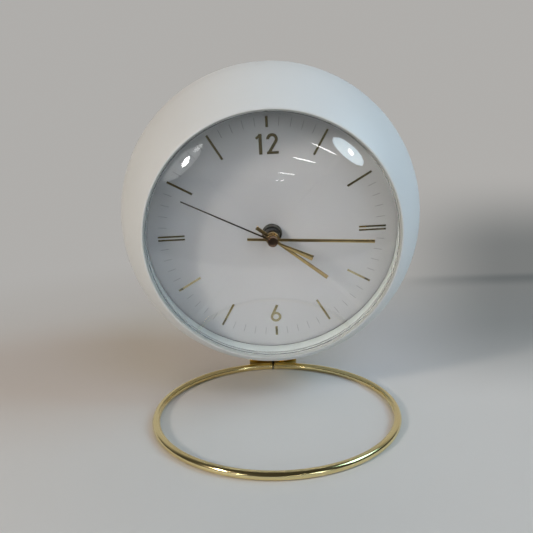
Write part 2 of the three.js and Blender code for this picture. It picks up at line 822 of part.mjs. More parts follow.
function hand(points, height, clockwise, shaftRadius, collarDrop) {
  const low = dialFront + height - collarDrop;
  const high = dialFront + height + handSheet;
  const bore = shaftRadius + seatGap;
  return cut(
    joined(blade(points, height, clockwise), rod(bore + handCollarWall, low, high)),
    rod(bore, low - cutBeyond, high + cutBeyond),
  );
}

const hourBlade = { tail: 10.6, tailWidth: 2.1, tip: 37, tipWidth: 2.1, neckWidth: 1.5 };
const minuteBlade = { tail: 13.3, tailWidth: 1.4, tip: 53.8, tipWidth: 1.8, neckWidth: 1.5 };
const secondBlade = { tail: 23.3, tailWidth: 3, tip: 51.3, tipWidth: 0.6, neckWidth: 0.8 };

function bladeOutline({ tail, tailWidth, tip, tipWidth, neckWidth }) {
  return [
    [-tailWidth / 2, -tail],
    [tailWidth / 2, -tail],
    [neckWidth / 2, 0],
    [tipWidth / 2, tip],
    [-tipWidth / 2, tip],
    [-neckWidth / 2, 0],
  ];
}

function secondHand() {
  const low = dialFront + secondHandHeight - seatGap;
  const high = dialFront + secondHandHeight + hubCapHeight;
  return cut(
    joined(
      blade(bladeOutline(secondBlade), secondHandHeight, secondHandDegrees),
      rod(hubCapRadius, low, high),
    ),
    rod(secondShaftRadius + seatGap, low - cutBeyond, secondShaftTop + seatGap),
  );
}

// The groups follow how the clock hangs together: ring, leaning neck, ball, dial unit
const clock = new THREE.Group();
add(clock, 'ring_rod', 'brassPlate', ringRod());

const neck = new THREE.Group();
neck.position.set(0, ringRadius, rodRadius);
neck.rotation.x = lean;
clock.add(neck);

const ball = new THREE.Group();
ball.position.z = neckLength + shellRadius;
neck.add(ball);
add(ball, 'neck_bracket', 'brassPlate', neckBracket());
const [leftScrew, rightScrew] = bracketScrewSpots();
add(ball, 'bracket_screw_left', 'steel', bracketScrew(leftScrew));
add(ball, 'bracket_screw_right', 'steel', bracketScrew(rightScrew));
add(ball, 'front_shell', 'whitePaint', frontShell());
add(ball, 'rear_shell', 'whitePaint', rearShell());
add(ball, 'rear_cover', 'whitePaint', rearCover());
add(ball, 'lens', 'lensGlass', lens());
add(ball, 'inner_wall_ring', 'whitePlastic', wallRing());
dialScrewSpots().forEach((spot, i) => add(ball, `dial_screw_${i + 1}`, 'steel', dialScrew(spot)));

const dialUnit = new THREE.Group();
dialUnit.rotation.y = dialRoll;
ball.add(dialUnit);
add(dialUnit, 'dial', 'dialWhite', dial());
add(dialUnit, 'dial_gasket', 'rubber', neckRing(gasketRadius, gasketFront - gasketSheet, gasketSheet));
add(dialUnit, 'dial_washer', 'steel', neckRing(washerRadius, washerBack, washerSheet));
add(dialUnit, 'dial_nut', 'darkNickel', neckRing(nutRadius, nutBack, nutHeight));
add(dialUnit, 'movement_front_case', 'blackPlastic', frontCase());
add(dialUnit, 'movement_rear_case', 'blackPlastic', rearCase());
add(dialUnit, 'battery_cell', 'cellSleeve', cell());
add(dialUnit, 'battery_contact_left', 'steel', contact(-1));
add(dialUnit, 'battery_contact_right', 'steel', contact(1));
add(dialUnit, 'circuit_board', 'board', board());
add(dialUnit, 'quartz_crystal', 'steel', crystal());
add(dialUnit, 'motor_coil', 'copper', coil());
add(dialUnit, 'motor_stator', 'steel', stator());
add(dialUnit, 'motor_rotor', 'magnet', rotor());
add(dialUnit, 'step_wheel', 'clearPlastic', stepWheel());
add(dialUnit, 'second_arbor', 'clearPlastic', secondArbor());
add(dialUnit, 'third_wheel', 'clearPlastic', thirdWheel());
add(dialUnit, 'centre_wheel', 'clearPlastic', centreWheel());
add(dialUnit, 'minute_arbor', 'clearPlastic', minuteArbor());
add(dialUnit, 'motion_wheel', 'clearPlastic', motionWheel());
add(dialUnit, 'hour_wheel', 'clearPlastic', hourWheel());
add(dialUnit, 'time_set_knob', 'blackPlastic', settingKnob());
add(dialUnit, 'hour_hand', 'handBrass',
  hand(bladeOutline(hourBlade), hourHandHeight, hourHandDegrees, hourTubeOuter, hourCollarDrop));
add(dialUnit, 'minute_hand', 'handBrass',
  hand(bladeOutline(minuteBlade), minuteHandHeight, minuteHandDegrees, minuteTubeOuter, minuteCollarDrop));
add(dialUnit, 'second_hand', 'handBrass', secondHand());

// The origin is the middle of the clock's footprint box, on the table
clock.updateMatrixWorld(true);
const extent = new THREE.Box3().setFromObject(clock, true);
const centre = extent.getCenter(new THREE.Vector3());
const part = new THREE.Group();
clock.position.set(-centre.x, -centre.y, -extent.min.z);
part.add(clock);

export default part;
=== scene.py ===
"""Ball table clock on a ring of brass rod: the looks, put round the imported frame.

Shapes are drawn in millimetres in the clock's own frame and then set in place: x runs to the
reader's right, y runs back along the axis of the hands and z runs up the ball. "Ahead" is how
far something lies in front of the ball's middle.
"""
import json
import math

import bmesh
import bpy
from mathutils import Matrix, Vector


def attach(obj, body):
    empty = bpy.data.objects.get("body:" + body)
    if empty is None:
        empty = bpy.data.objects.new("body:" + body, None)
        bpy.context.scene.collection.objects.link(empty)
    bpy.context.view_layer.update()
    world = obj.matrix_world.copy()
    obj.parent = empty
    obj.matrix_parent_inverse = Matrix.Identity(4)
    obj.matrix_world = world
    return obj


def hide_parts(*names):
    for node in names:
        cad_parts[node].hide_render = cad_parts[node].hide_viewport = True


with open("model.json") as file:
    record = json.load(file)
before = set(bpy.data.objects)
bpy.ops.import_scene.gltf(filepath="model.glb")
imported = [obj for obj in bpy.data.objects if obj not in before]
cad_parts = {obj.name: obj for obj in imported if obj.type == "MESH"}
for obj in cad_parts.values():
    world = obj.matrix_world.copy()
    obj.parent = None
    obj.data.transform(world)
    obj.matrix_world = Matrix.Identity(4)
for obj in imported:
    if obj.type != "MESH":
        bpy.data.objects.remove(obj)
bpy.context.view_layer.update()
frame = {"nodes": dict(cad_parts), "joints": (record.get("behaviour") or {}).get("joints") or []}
scene = bpy.context.scene

# Camera
# The standpoint of the photograph: a camera held about 32 cm in front, level with the dial's upper
# half and tipped a little down and to one side.
STANDPOINT = Vector((-0.0068, -0.3205, 0.1387))
HEADING = math.radians(0.65)
PITCH = math.radians(10.91)
TILT = math.radians(1.45)
LENS_LENGTH = 37.10

level_share = math.cos(PITCH)
forward = Vector((math.sin(HEADING) * level_share, math.cos(HEADING) * level_share, -math.sin(PITCH)))
level = Vector((math.cos(HEADING), -math.sin(HEADING), 0))
down = forward.cross(level)
across = level * math.cos(TILT) + down * math.sin(TILT)
below = down * math.cos(TILT) - level * math.sin(TILT)
camera_data = bpy.data.cameras.new("camera")
camera_data.sensor_width = 36
camera_data.lens = LENS_LENGTH
camera_data.clip_start = 0.01
camera = bpy.data.objects.new("camera", camera_data)
camera_axes = Matrix((across, -below, -forward)).transposed().to_4x4()
camera.matrix_world = Matrix.Translation(STANDPOINT) @ camera_axes
scene.collection.objects.link(camera)
scene.camera = camera
scene.view_settings.view_transform = "Standard"


# Room
# A pale table before a grey wall, with daylight from a window on the left and a cooler one high on
# the right. A soft shadow is painted on the right, with a painted dark line in it for the join of table
# and wall. The dark end of the room in front shows in metal and glass, and ceiling tubes glint there.
class Wire:
    """A value in a shader; the operators on it add Math nodes."""

    def __init__(self, nodes, socket):
        self.nodes = nodes
        self.socket = socket

    def math(self, operation, *values):
        return self.nodes.add("ShaderNodeMath", {"operation": operation}, dict(enumerate((self, *values))))

    def __add__(self, other):
        return self.math("ADD", other)

    def __mul__(self, other):
        return self.math("MULTIPLY", other)

    def __sub__(self, other):
        return self.math("SUBTRACT", other)

    def __rsub__(self, other):
        return self * -1 + other

    def over(self, low, high):
        """0 up to low and 1 from high on, with a smooth step between them."""
        sockets = {"Value": self, "From Min": low, "From Max": high}
        return self.nodes.add("ShaderNodeMapRange", {"interpolation_type": "SMOOTHSTEP"}, sockets)


class Nodes:
    """The node tree of a material or of the world."""

    def __init__(self, owner):
        owner.use_nodes = True
        self.tree = owner.node_tree
        self.owner = owner

    def add(self, kind, settings=None, sockets=None, output=0):
        made = self.tree.nodes.new(kind)
        for name, value in (settings or {}).items():
            setattr(made, name, value)
        for name, value in (sockets or {}).items():
            self.feed(made.inputs[name], value)
        return Wire(self, made.outputs[output])

    def feed(self, socket, value):
        if isinstance(value, Wire):
            self.tree.links.new(value.socket, socket)
        else:
            socket.default_value = value

    def blend(self, share, first, second):
        """The first colour turns into the second as share goes from 0 to 1."""
        return self.add("ShaderNodeMix", {"data_type": "RGBA"}, {0: share, 6: first, 7: second}, 2)

    def coordinate(self, vector, axis):
        """One number of a vector: x, y or z for axis 0, 1 or 2."""
        return self.add("ShaderNodeSeparateXYZ", {}, {0: vector}, axis)

    def place(self, stretch=(1, 1, 1)):
        """Object coordinates in metres, stretched along each axis."""
        coordinates = self.add("ShaderNodeTexCoord", output="Object")
        return self.add("ShaderNodeMapping", {}, {"Vector": coordinates, "Scale": stretch})

    def noise(self, place, scale, detail=2):
        sockets = {"Vector": place, "Scale": scale, "Detail": detail}
        return self.add("ShaderNodeTexNoise", {}, sockets, "Fac")

    def bump(self, height, depth):
        return self.add("ShaderNodeBump", {}, {"Height": height, "Distance": depth}, "Normal")


def colour(red, green, blue):
    return (red, green, blue, 1)


def ray_kinds(nodes):
    """Whether a ray comes from the camera, from a gloss or through glass."""
    path = nodes.tree.nodes.new("ShaderNodeLightPath")
    return [Wire(nodes, path.outputs[f"Is {kind} Ray"]) for kind in ("Camera", "Glossy", "Transmission")]


BACKDROP = colour(0.43, 0.42, 0.405)
BACKDROP_PAINTED_SHADOW = colour(0.135, 0.145, 0.145)
AMBIENT = colour(0.072, 0.066, 0.036)
DARK_END = colour(0.040, 0.038, 0.032)
TABLE = colour(0.68, 0.67, 0.66)
TABLE_WORN = colour(0.645, 0.635, 0.62)
TABLE_PAINTED_SHADOW = colour(0.25, 0.26, 0.26)
FURNITURE_TOP = (0.15, 0.40)
FURNITURE_END = (0.40, 0.65)
DARK_END_REACH = (0.0, 0.7)

room = Nodes(bpy.data.worlds.new("room"))
scene.world = room.owner
camera_ray, glossy_ray, through_ray = ray_kinds(room)
look = room.add("ShaderNodeTexCoord", output="Generated")
behind_clock = room.coordinate(look, 1)
upwards = room.coordinate(look, 2)
over_furniture = upwards.over(*FURNITURE_TOP).math("MAXIMUM", behind_clock.over(*FURNITURE_END))
walls = room.blend(behind_clock.over(*DARK_END_REACH) * over_furniture, DARK_END, BACKDROP)
mirrored = room.blend(glossy_ray, AMBIENT, walls)
straight_on = camera_ray.math("MAXIMUM", through_ray)
shown = room.blend(straight_on, mirrored, BACKDROP)
room.feed(room.tree.nodes["Background"].inputs["Color"], shown)

# The painted shadow and the painted join line have their limits as slopes seen from the standpoint,
# to the right and down; the other limits are in metres.
TABLE_REACH = 12
TABLE_ROUGHNESS = 0.6
FAR_TABLE = (0.15, 0.5)
FAR_SIDE = (-0.2, 0)
MIRRORED_EDGE = (-0.18, -0.155)
SHADOW_SIDE = (0.18, 0.45)
SHADOW_TOP = (0.03, 0.17)
SHADOW_FOOT = (0.30, 0.48)
SHADOW_STRENGTH = 0.8
JOIN_SIDE = (0.18, 0.35)
JOIN_TOP = (0.215, 0.227)
JOIN_FOOT = (0.227, 0.245)
JOIN_STRENGTH = 0.2
table_mesh = bmesh.new()
bmesh.ops.create_circle(table_mesh, cap_ends=True, segments=64, radius=TABLE_REACH)
table_data = bpy.data.meshes.new("table")
table_mesh.to_mesh(table_data)
table = bpy.data.objects.new("table", table_data)
scene.collection.objects.link(table)
top = Nodes(bpy.data.materials.new("table_top"))
board = top.tree.nodes["Principled BSDF"]
camera_ray, glossy_ray, through_ray = ray_kinds(top)
spot = top.place()
outward = top.add("ShaderNodeVectorMath", {"operation": "LENGTH"}, {0: spot}, "Value")
towards_back = top.coordinate(spot, 1)
wear = top.noise(spot, 9, 4)
cloth = top.blend(wear, TABLE, TABLE_WORN)
# Painted shadow: a soft shadow on the right, with a darker line at the join of table and wall, is painted
# into the table's colour and the far backdrop's.
nearness = (towards_back - STANDPOINT.y).math("POWER", -1)
below_horizon = nearness * STANDPOINT.z
to_the_right = top.coordinate(spot, 0) * nearness
painted_shadow = to_the_right.over(*SHADOW_SIDE) * below_horizon.over(*SHADOW_TOP)
painted_shadow = painted_shadow * (1 - below_horizon.over(*SHADOW_FOOT)) * SHADOW_STRENGTH
join_painted_shade = below_horizon.over(*JOIN_TOP) * (1 - below_horizon.over(*JOIN_FOOT))
painted_shadow = painted_shadow + join_painted_shade * to_the_right.over(*JOIN_SIDE) * JOIN_STRENGTH
cloth = top.blend(painted_shadow, cloth, TABLE_PAINTED_SHADOW)
far_colour = top.blend(painted_shadow, BACKDROP, BACKDROP_PAINTED_SHADOW)
# Painted shade: the near end of the table is painted dark where metal and glass mirror it.
mirrored_painted_shade = glossy_ray * (1 - towards_back.over(*MIRRORED_EDGE))
top.feed(board.inputs["Base Color"], top.blend(mirrored_painted_shade, cloth, DARK_END))
board.inputs["Roughness"].default_value = TABLE_ROUGHNESS
far = top.add("ShaderNodeEmission", {}, {"Color": far_colour})
far_side = outward.over(*FAR_TABLE) * towards_back.over(*FAR_SIDE)
share = far_side * camera_ray.math("MAXIMUM", glossy_ray).math("MAXIMUM", through_ray)
mixed = top.add("ShaderNodeMixShader", {}, {0: share, 1: Wire(top, board.outputs[0]), 2: far})
top.feed(top.tree.nodes["Material Output"].inputs["Surface"], mixed)
table_data.materials.append(top.owner)

DIAL_SPOT = Vector((0, -0.023, 0.1))
GLINT_REACH = 1.5


def lamp(name, place, width, height, power, tint=(1, 1, 1), glints=False):
    """A flat lamp that faces the dial; one that glints also shows in metal and glass."""
    data = bpy.data.lights.new(name, "AREA")
    data.shape = "RECTANGLE"
    data.size = width
    data.size_y = height
    data.energy = power
    data.color = tint
    made = bpy.data.objects.new(name, data)
    scene.collection.objects.link(made)
    towards = DIAL_SPOT - Vector(place)
    made.matrix_world = Matrix.Translation(place) @ towards.to_track_quat("-Z", "Y").to_matrix().to_4x4()
    made.visible_camera = False
    made.visible_glossy = glints
    return made


lamp("window_left", (-1.050, -0.881, 0.710), 0.14, 0.25, 8.6, (1, 0.89, 0.80), glints=True)
lamp("window_right_wide", (1.210, -0.213, 1.065), 1.8, 1.4, 4.4, (0.91, 0.89, 1))
lamp("window_right_high", (1.164, -0.205, 1.024), 0.70, 0.60, 6.9, (0.47, 0.81, 1), glints=True)
lamp("window_right_low", (1.413, -0.249, 0.539), 1.3, 0.7, 1.0, (0.96, 1, 0.90))
lamp("ceiling_right", (0.478, -1.025, 1.231), 0.70, 0.50, 4.6, (0.65, 0.73, 1))
lamp("ceiling_left", (-0.416, -0.893, 1.361), 0.70, 0.50, 2.0, (1, 0.86, 0.54))
lamp("back_wall", (0, 1.1, 1.3), 1.6, 0.9, 4.6, (1, 0.70, 0.55))


def glint(name, start, end, height, radiance=30, tint=(1, 1, 1), shape="RECTANGLE"):
    """A bright shape that shows in the lens, between two directions seen from the dial."""
    ends = []
    for azimuth, elevation in (start, end):
        turned_to = math.radians(azimuth)
        risen = math.radians(elevation)
        level_reach = GLINT_REACH * math.cos(risen)
        way = (
            math.sin(turned_to) * level_reach,
            -math.cos(turned_to) * level_reach,
            GLINT_REACH * math.sin(risen),
        )
        ends.append(Vector(way))
    along = ends[1] - ends[0]
    middle = (ends[0] + ends[1]) / 2
    power = radiance * math.pi * along.length * height
    made = lamp(name, DIAL_SPOT + middle, along.length, height, power, tint, glints=True)
    made.data.shape = shape
    facing = middle.normalized()
    sideways = (along - facing * along.dot(facing)).normalized()
    axes = Matrix((sideways, facing.cross(sideways), facing)).transposed().to_4x4()
    made.matrix_world = Matrix.Translation(DIAL_SPOT + middle) @ axes


glint("tube_high", (17.4, 12.5), (26.6, 8.0), 0.010, 24)
glint("tube_middle", (10.1, 7.5), (18.2, 5.4), 0.010, 24)
glint("tube_low", (3.8, 2.0), (10.0, 1.1), 0.010, 10)
glint("tube_end_left", (2.9, -1.0), (3.7, -1.0), 0.010, 10)
glint("tube_end_right", (4.7, -1.0), (6.1, -1.1), 0.010, 10)
glint("window_far", (25.8, 13.9), (37.2, 3.9), 0.13, 5.5, (0.74, 0.90, 1), "ELLIPSE")
glint("sun_patch", (31.5, 9.7), (33.3, 7.5), 0.035, 30, shape="ELLIPSE")
glint("lamp_left", (-33.5, 4.8), (-30.6, 8.4), 0.045, shape="ELLIPSE")
glint("lamp_left_wide", (-41.5, 0.0), (-26.4, 11.5), 0.16, 1, shape="ELLIPSE")
glint("lamp_left_high", (-29.0, 10.2), (-25.5, 13.0), 0.04, 3, shape="ELLIPSE")

# Ring
# One round brass rod bent into a ring that lies flat on the table. Its two ends face each other
# at the back with a hairline slit, their edges broken by a file, and the rod is polished.
MM = 0.001
ROD_RADIUS = 2.1
RING_RADIUS = 66
RING_SLIT = 0.7
ROD_SIDES = 40
ROD_STEPS = 240
RING_MIDDLE = Vector((0, -33.914, 2.1))
BRASS = colour(0.93, 0.79, 0.42)
BRASS_WORN = colour(0.87, 0.71, 0.35)
POINT_GAP = 1e-4
FOLD = math.radians(30)
CREASE = math.radians(44)


def finish(name, light, dark, roughness, metallic=0.0, patch=40, grain=900, depth=2e-5, stretch=(1, 1, 1)):
    """A surface whose colour and gloss vary a little in patches, with a fine grain."""
    nodes = Nodes(bpy.data.materials.new(name))
    shader = nodes.tree.nodes["Principled BSDF"]
    place = nodes.place(stretch)
    patches = nodes.noise(place, patch, 4)
    fine = nodes.noise(place, grain, 3)
    nodes.feed(shader.inputs["Base Color"], nodes.blend(patches.over(0.3, 0.7), light, dark))
    low, high = roughness
    nodes.feed(shader.inputs["Roughness"], nodes.noise(place, patch * 4, 3) * (high - low) + low)
    nodes.feed(shader.inputs["Normal"], nodes.bump(fine, depth))
    shader.inputs["Metallic"].default_value = metallic
    return nodes


def soften(mesh, width, steps=3):
    """Rounds every edge that folds by more than FOLD."""
    sharp = [edge for edge in mesh.edges if edge.calc_face_angle(0) > FOLD]
    bmesh.ops.bevel(
        mesh,
        geom=sharp,
        offset=width,
        segments=steps,
        profile=0.5,
        affect="EDGES",
        clamp_overlap=True,
        material=-1,
    )
    return mesh


def piece(name, mesh, place, nodes, body, slot, *stood_for):
    """Sets a mesh in its place as a piece, and says what it rides on and stands for."""
    bmesh.ops.transform(mesh, matrix=place, verts=mesh.verts)
    for face in mesh.faces:
        face.smooth = True
    for edge in mesh.edges:
        edge.smooth = edge.calc_face_angle(0) < CREASE
    data = bpy.data.meshes.new(name)
    mesh.to_mesh(data)
    mesh.free()
    data.materials.append(nodes.owner)
    made = bpy.data.objects.new(name, data)
    scene.collection.objects.link(made)
    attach(made, body)
    if stood_for:
        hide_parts(*stood_for)


polished_brass = finish("polished_brass", BRASS, BRASS_WORN, (0.10, 0.20), 1.0, 25, 1400, 3e-6)
GROUND = Matrix.Translation(RING_MIDDLE * MM) @ Matrix.Scale(MM, 4)
ring = bmesh.new()
slit_turn = RING_SLIT / RING_RADIUS
first_end = Matrix.Rotation(math.pi / 2 + slit_turn / 2, 4, "Z")
section_place = first_end @ Matrix.Translation((RING_RADIUS, 0, 0))
bmesh.ops.create_circle(
    ring,
    segments=ROD_SIDES,
    radius=ROD_RADIUS,
    matrix=section_place @ Matrix.Rotation(math.pi / 2, 4, "X"),
)
bmesh.ops.spin(
    ring,
    geom=ring.verts[:] + ring.edges[:],
    cent=(0, 0, 0),
    axis=(0, 0, 1),
    angle=math.tau - slit_turn,
    steps=ROD_STEPS,
)
bmesh.ops.holes_fill(ring, edges=[edge for edge in ring.edges if edge.is_boundary])
bmesh.ops.recalc_face_normals(ring, faces=ring.faces)
soften(ring, 0.2)
piece("ring_rod_polished", ring, GROUND, polished_brass, "stand_and_case", "rod_brass", "ring_rod")

# Neck bracket
# Brass sheet: a flat web brazed behind the two rod ends, and on top of it a pad pressed to the
# round of the ball, with two holes for its screws. In the slit the brass is painted near black,
# painted shade in the gap.
turning = {joint["name"]: joint for joint in frame["joints"]}
BALL_MIDDLE = Vector(turning["minute_turn"]["pos_m"])
BACKWARD = Vector(turning["minute_turn"]["axis"])
LEAN = math.atan2(BACKWARD.z, BACKWARD.y)
BALL = Matrix.Translation(BALL_MIDDLE) @ Matrix.Rotation(LEAN, 4, "X") @ Matrix.Scale(MM, 4)
SHELL_RADIUS = 87.86
PAD_INSIDE = 88.3
PAD_SHEET = 2
PAD_WIDTH = 31.6
PAD_DEPTH = 27
WEB_FRONT = 2.4
WEB_LOW = -107.7
PAD_ARC_STEPS = 16
PAD_CUTS = 23
PAD_HOLE = 1.8
SCREW_SPOTS = ((-9, -6), (9, -6))
SLIT_PAINTED_SHADE = colour(0.03, 0.02, 0.015)
SLIT_SHADE_SIDE = (0.50 * MM, 0.65 * MM)
SLIT_SHADE_BACK = ((WEB_FRONT + 0.4) * MM, (WEB_FRONT + 0.6) * MM)


def reach_along(nodes, way):
    """How far a point lies from the ball's middle along a way, in metres."""
    point = nodes.add("ShaderNodeTexCoord", output="Object")
    from_middle = nodes.add("ShaderNodeVectorMath", {"operation": "SUBTRACT"}, {0: point, 1: BALL_MIDDLE})
    return nodes.add("ShaderNodeVectorMath", {"operation": "DOT_PRODUCT"}, {0: from_middle, 1: way}, "Value")


def recolour(nodes, share, other):
    """Turns the colour of a finish into another one as share goes from 0 to 1."""
    socket = nodes.tree.nodes["Principled BSDF"].inputs["Base Color"]
    own = Wire(nodes, socket.links[0].from_socket)
    nodes.feed(socket, nodes.blend(share, own, other))


# Painted shade: the brass turns near black in the slit between the rod ends and on the web behind it.
place = polished_brass.place()
across_slit = polished_brass.coordinate(place, 0).math("ABSOLUTE")
at_back = polished_brass.coordinate(place, 1).over(0, 1 * MM)
before_back = 1 - reach_along(polished_brass, BACKWARD).over(*SLIT_SHADE_BACK)
recolour(polished_brass, (1 - across_slit.over(*SLIT_SHADE_SIDE)) * at_back * before_back, SLIT_PAINTED_SHADE)


def carved(body, tool, operation="DIFFERENCE"):
    """Cuts one mesh with another, or joins the two, and gives back the result."""
    blanks = []
    for source in (body, tool):
        data = bpy.data.meshes.new("blank")
        source.to_mesh(data)
        source.free()
        blanks.append(bpy.data.objects.new("blank", data))
        scene.collection.objects.link(blanks[-1])
    modifier = blanks[0].modifiers.new("carve", "BOOLEAN")
    modifier.operation = operation
    modifier.solver = "EXACT"
    modifier.object = blanks[1]
    result = bmesh.new()
    result.from_object(blanks[0], bpy.context.evaluated_depsgraph_get())
    for blank in blanks:
        data = blank.data
        bpy.data.objects.remove(blank)
        bpy.data.meshes.remove(data)
    return result


def rod(radius, start, end, segments=48):
    """A round bar between two points."""
    way = Vector(end) - Vector(start)
    middle = (Vector(end) + Vector(start)) / 2
    mesh = bmesh.new()
    bmesh.ops.create_cone(
        mesh,
        cap_ends=True,
        segments=segments,
        radius1=radius,
        radius2=radius,
        depth=way.length,
        matrix=Matrix.Translation(middle) @ way.to_track_quat("Z", "Y").to_matrix().to_4x4(),
    )
    return mesh


bracket = bmesh.new()
pad_low = PAD_INSIDE + PAD_SHEET
pad_end = math.asin(PAD_DEPTH / 2 / pad_low)
pad_slopes = [pad_end * (2 * i / PAD_ARC_STEPS - 1) for i in range(PAD_ARC_STEPS + 1)]
upper_side = [(PAD_INSIDE * math.sin(slope), -PAD_INSIDE * math.cos(slope)) for slope in pad_slopes]
lower_side = [(pad_low * math.sin(slope), -pad_low * math.cos(slope)) for slope in reversed(pad_slopes)]
web_back = WEB_FRONT + PAD_SHEET
behind_web = [(y, z) for y, z in lower_side if y > web_back]
before_web = [(y, z) for y, z in lower_side if y < WEB_FRONT]
web_line = [(side, -math.sqrt(pad_low ** 2 - side ** 2)) for side in (web_back, WEB_FRONT)]
web_foot = [(web_back, WEB_LOW), (WEB_FRONT, WEB_LOW)]
line = upper_side + behind_web + [web_line[0]] + web_foot + [web_line[1]] + before_web
corners = [bracket.verts.new((-PAD_WIDTH / 2, y, z)) for y, z in line]
end_face = bracket.faces.new(corners)
swept = bmesh.ops.extrude_face_region(bracket, geom=[end_face], use_keep_orig=True)
moved = [item for item in swept["geom"] if isinstance(item, bmesh.types.BMVert)]
bmesh.ops.translate(bracket, verts=moved, vec=(PAD_WIDTH, 0, 0))
bmesh.ops.recalc_face_normals(bracket, faces=bracket.faces)
for step in range(1, PAD_CUTS + 1):
    bmesh.ops.bisect_plane(
        bracket,
        geom=bracket.verts[:] + bracket.edges[:] + bracket.faces[:],
        plane_co=(PAD_WIDTH * (step / (PAD_CUTS + 1) - 0.5), 0, 0),
        plane_no=(1, 0, 0),
    )
for corner in bracket.verts:
    reach = math.hypot(corner.co.y, corner.co.z)
    rise = reach - math.sqrt(reach ** 2 - corner.co.x ** 2)
    if corner.co.z > WEB_LOW + 1:
        corner.co.z += rise
soften(bracket, 0.35)
for x, y in SCREW_SPOTS:
    bracket = carved(bracket, rod(PAD_HOLE, (x, y, -PAD_INSIDE - 6), (x, y, -PAD_INSIDE + 6)))
piece("neck_bracket_pressed", bracket, BALL, polished_brass, "stand_and_case", "rod_brass", "neck_bracket")

# Bracket screws
# Two small zinc plated steel screws that pass up through the pad into bosses in the shell. The
# head is a low dome with a cross recess, its rim softened, and the shank stays a plain rod.
STEEL = colour(0.60, 0.60, 0.61)
STEEL_DULL = colour(0.47, 0.47, 0.48)
HEAD_TOP = -90.6
HEAD_HEIGHT = 2
HEAD_RADIUS = 2.8
SHANK_RADIUS = 1.5
SHANK_LENGTH = 10
RECESS_WIDTH = 0.7
RECESS_LENGTH = 3
RECESS_DEPTH = 0.9

zinc = finish("zinc_plated_steel", STEEL, STEEL_DULL, (0.28, 0.42), 1.0, 300, 4000, 4e-6)


def block(low, high):
    """A block between two opposite corners."""
    size = Vector(high) - Vector(low)
    middle = (Vector(high) + Vector(low)) / 2
    mesh = bmesh.new()
    bmesh.ops.create_cube(mesh, size=1, matrix=Matrix.Translation(middle) @ Matrix.Diagonal((*size, 1)))
    return mesh


for side, (x, y) in zip(("left", "right"), SCREW_SPOTS):
    low = HEAD_TOP - HEAD_HEIGHT
    head = soften(rod(HEAD_RADIUS, (x, y, low), (x, y, HEAD_TOP), 40), 0.6, 4)
    shank = rod(SHANK_RADIUS, (x, y, HEAD_TOP - 1), (x, y, HEAD_TOP + SHANK_LENGTH), 24)
    screw = carved(head, shank, "UNION")
    half_long, half_wide = RECESS_LENGTH / 2, RECESS_WIDTH / 2
    for reach_x, reach_y in ((half_long, half_wide), (half_wide, half_long)):
        recess = block((x - reach_x, y - reach_y, low - 1), (x + reach_x, y + reach_y, low + RECESS_DEPTH))
        screw = carved(screw, recess)
    node = f"bracket_screw_{side}"
    piece(f"{node}_cross", screw, BALL, zinc, "stand_and_case", "screw_steel", node)

# Front shell
# The front of the ball in moulded plastic, painted satin white, with a rounded edge to its mouth.
# Its mouth's edge and its inside are a darker grey, painted shade on the edge. Inside it has two
# bosses for the bracket's screws and four for those of the dial.
SHELL_INSIDE = 85.8
SEAM = -20
SEAM_GAP = 0.15
MOUTH_RADIUS = 66
RIM_ROUND = 0.9
RIM_STEPS = 12
LENS_SEAT_RADIUS = 68.5
SHELL_SEGMENTS = 192
FOOT_BOSS_RADIUS = 3.8
FOOT_BOSS_TOP = 78.8
BOSS_CIRCLE = 73.31
DIAL_BOSS_RADIUS = 2.2
DIAL_BOSS_REACH = (38.07, 60)
WHITE = colour(0.70, 0.722, 0.728)
WHITE_SHADE = colour(0.685, 0.706, 0.71)
GREY_PAINTED_SHADE = colour(0.44, 0.46, 0.44)
WHITE_START = 87.1
WHITE_FULL = 87.6


def ahead_at(radius, sphere):
    return math.sqrt(sphere ** 2 - radius ** 2)


def arc(sphere, start, end, steps, middle=0.0):
    """Points on a circle round a place on the axis, as radius and ahead."""
    first = math.asin(max(-1, min(1, (start - middle) / sphere)))
    last = math.asin(max(-1, min(1, (end - middle) / sphere)))
    angles = [first + (last - first) * i / steps for i in range(steps + 1)]
    return [(sphere * math.cos(angle), middle + sphere * math.sin(angle)) for angle in angles]


def turned(line, segments=96):
    """Spins a line of radius and ahead points round the axis of the hands."""
    mesh = bmesh.new()
    corners = [mesh.verts.new((max(radius, 0), -ahead, 0)) for radius, ahead in line]
    pairs = list(zip(corners, corners[1:]))
    if line[0][0] > POINT_GAP:
        pairs.append((corners[-1], corners[0]))
    edges = [mesh.edges.new(pair) for pair in pairs]
    bmesh.ops.spin(
        mesh,
        geom=corners + edges,
        cent=(0, 0, 0),
        axis=(0, 1, 0),
        angle=math.tau,
        steps=segments,
        use_merge=True,
    )
    bmesh.ops.remove_doubles(mesh, verts=mesh.verts, dist=POINT_GAP)
    bmesh.ops.recalc_face_normals(mesh, faces=mesh.faces)
    return mesh


def clock_point(radius, clockwise, ahead):
    angle = math.radians(clockwise)
    return (radius * math.sin(angle), -ahead, radius * math.cos(angle))


def ball(radius):
    return turned(arc(radius, -radius, radius, 48), 96)


white_paint = finish("satin_white_paint", WHITE, WHITE_SHADE, (0.42, 0.50), 0.0, 18, 650, 1.2e-5)
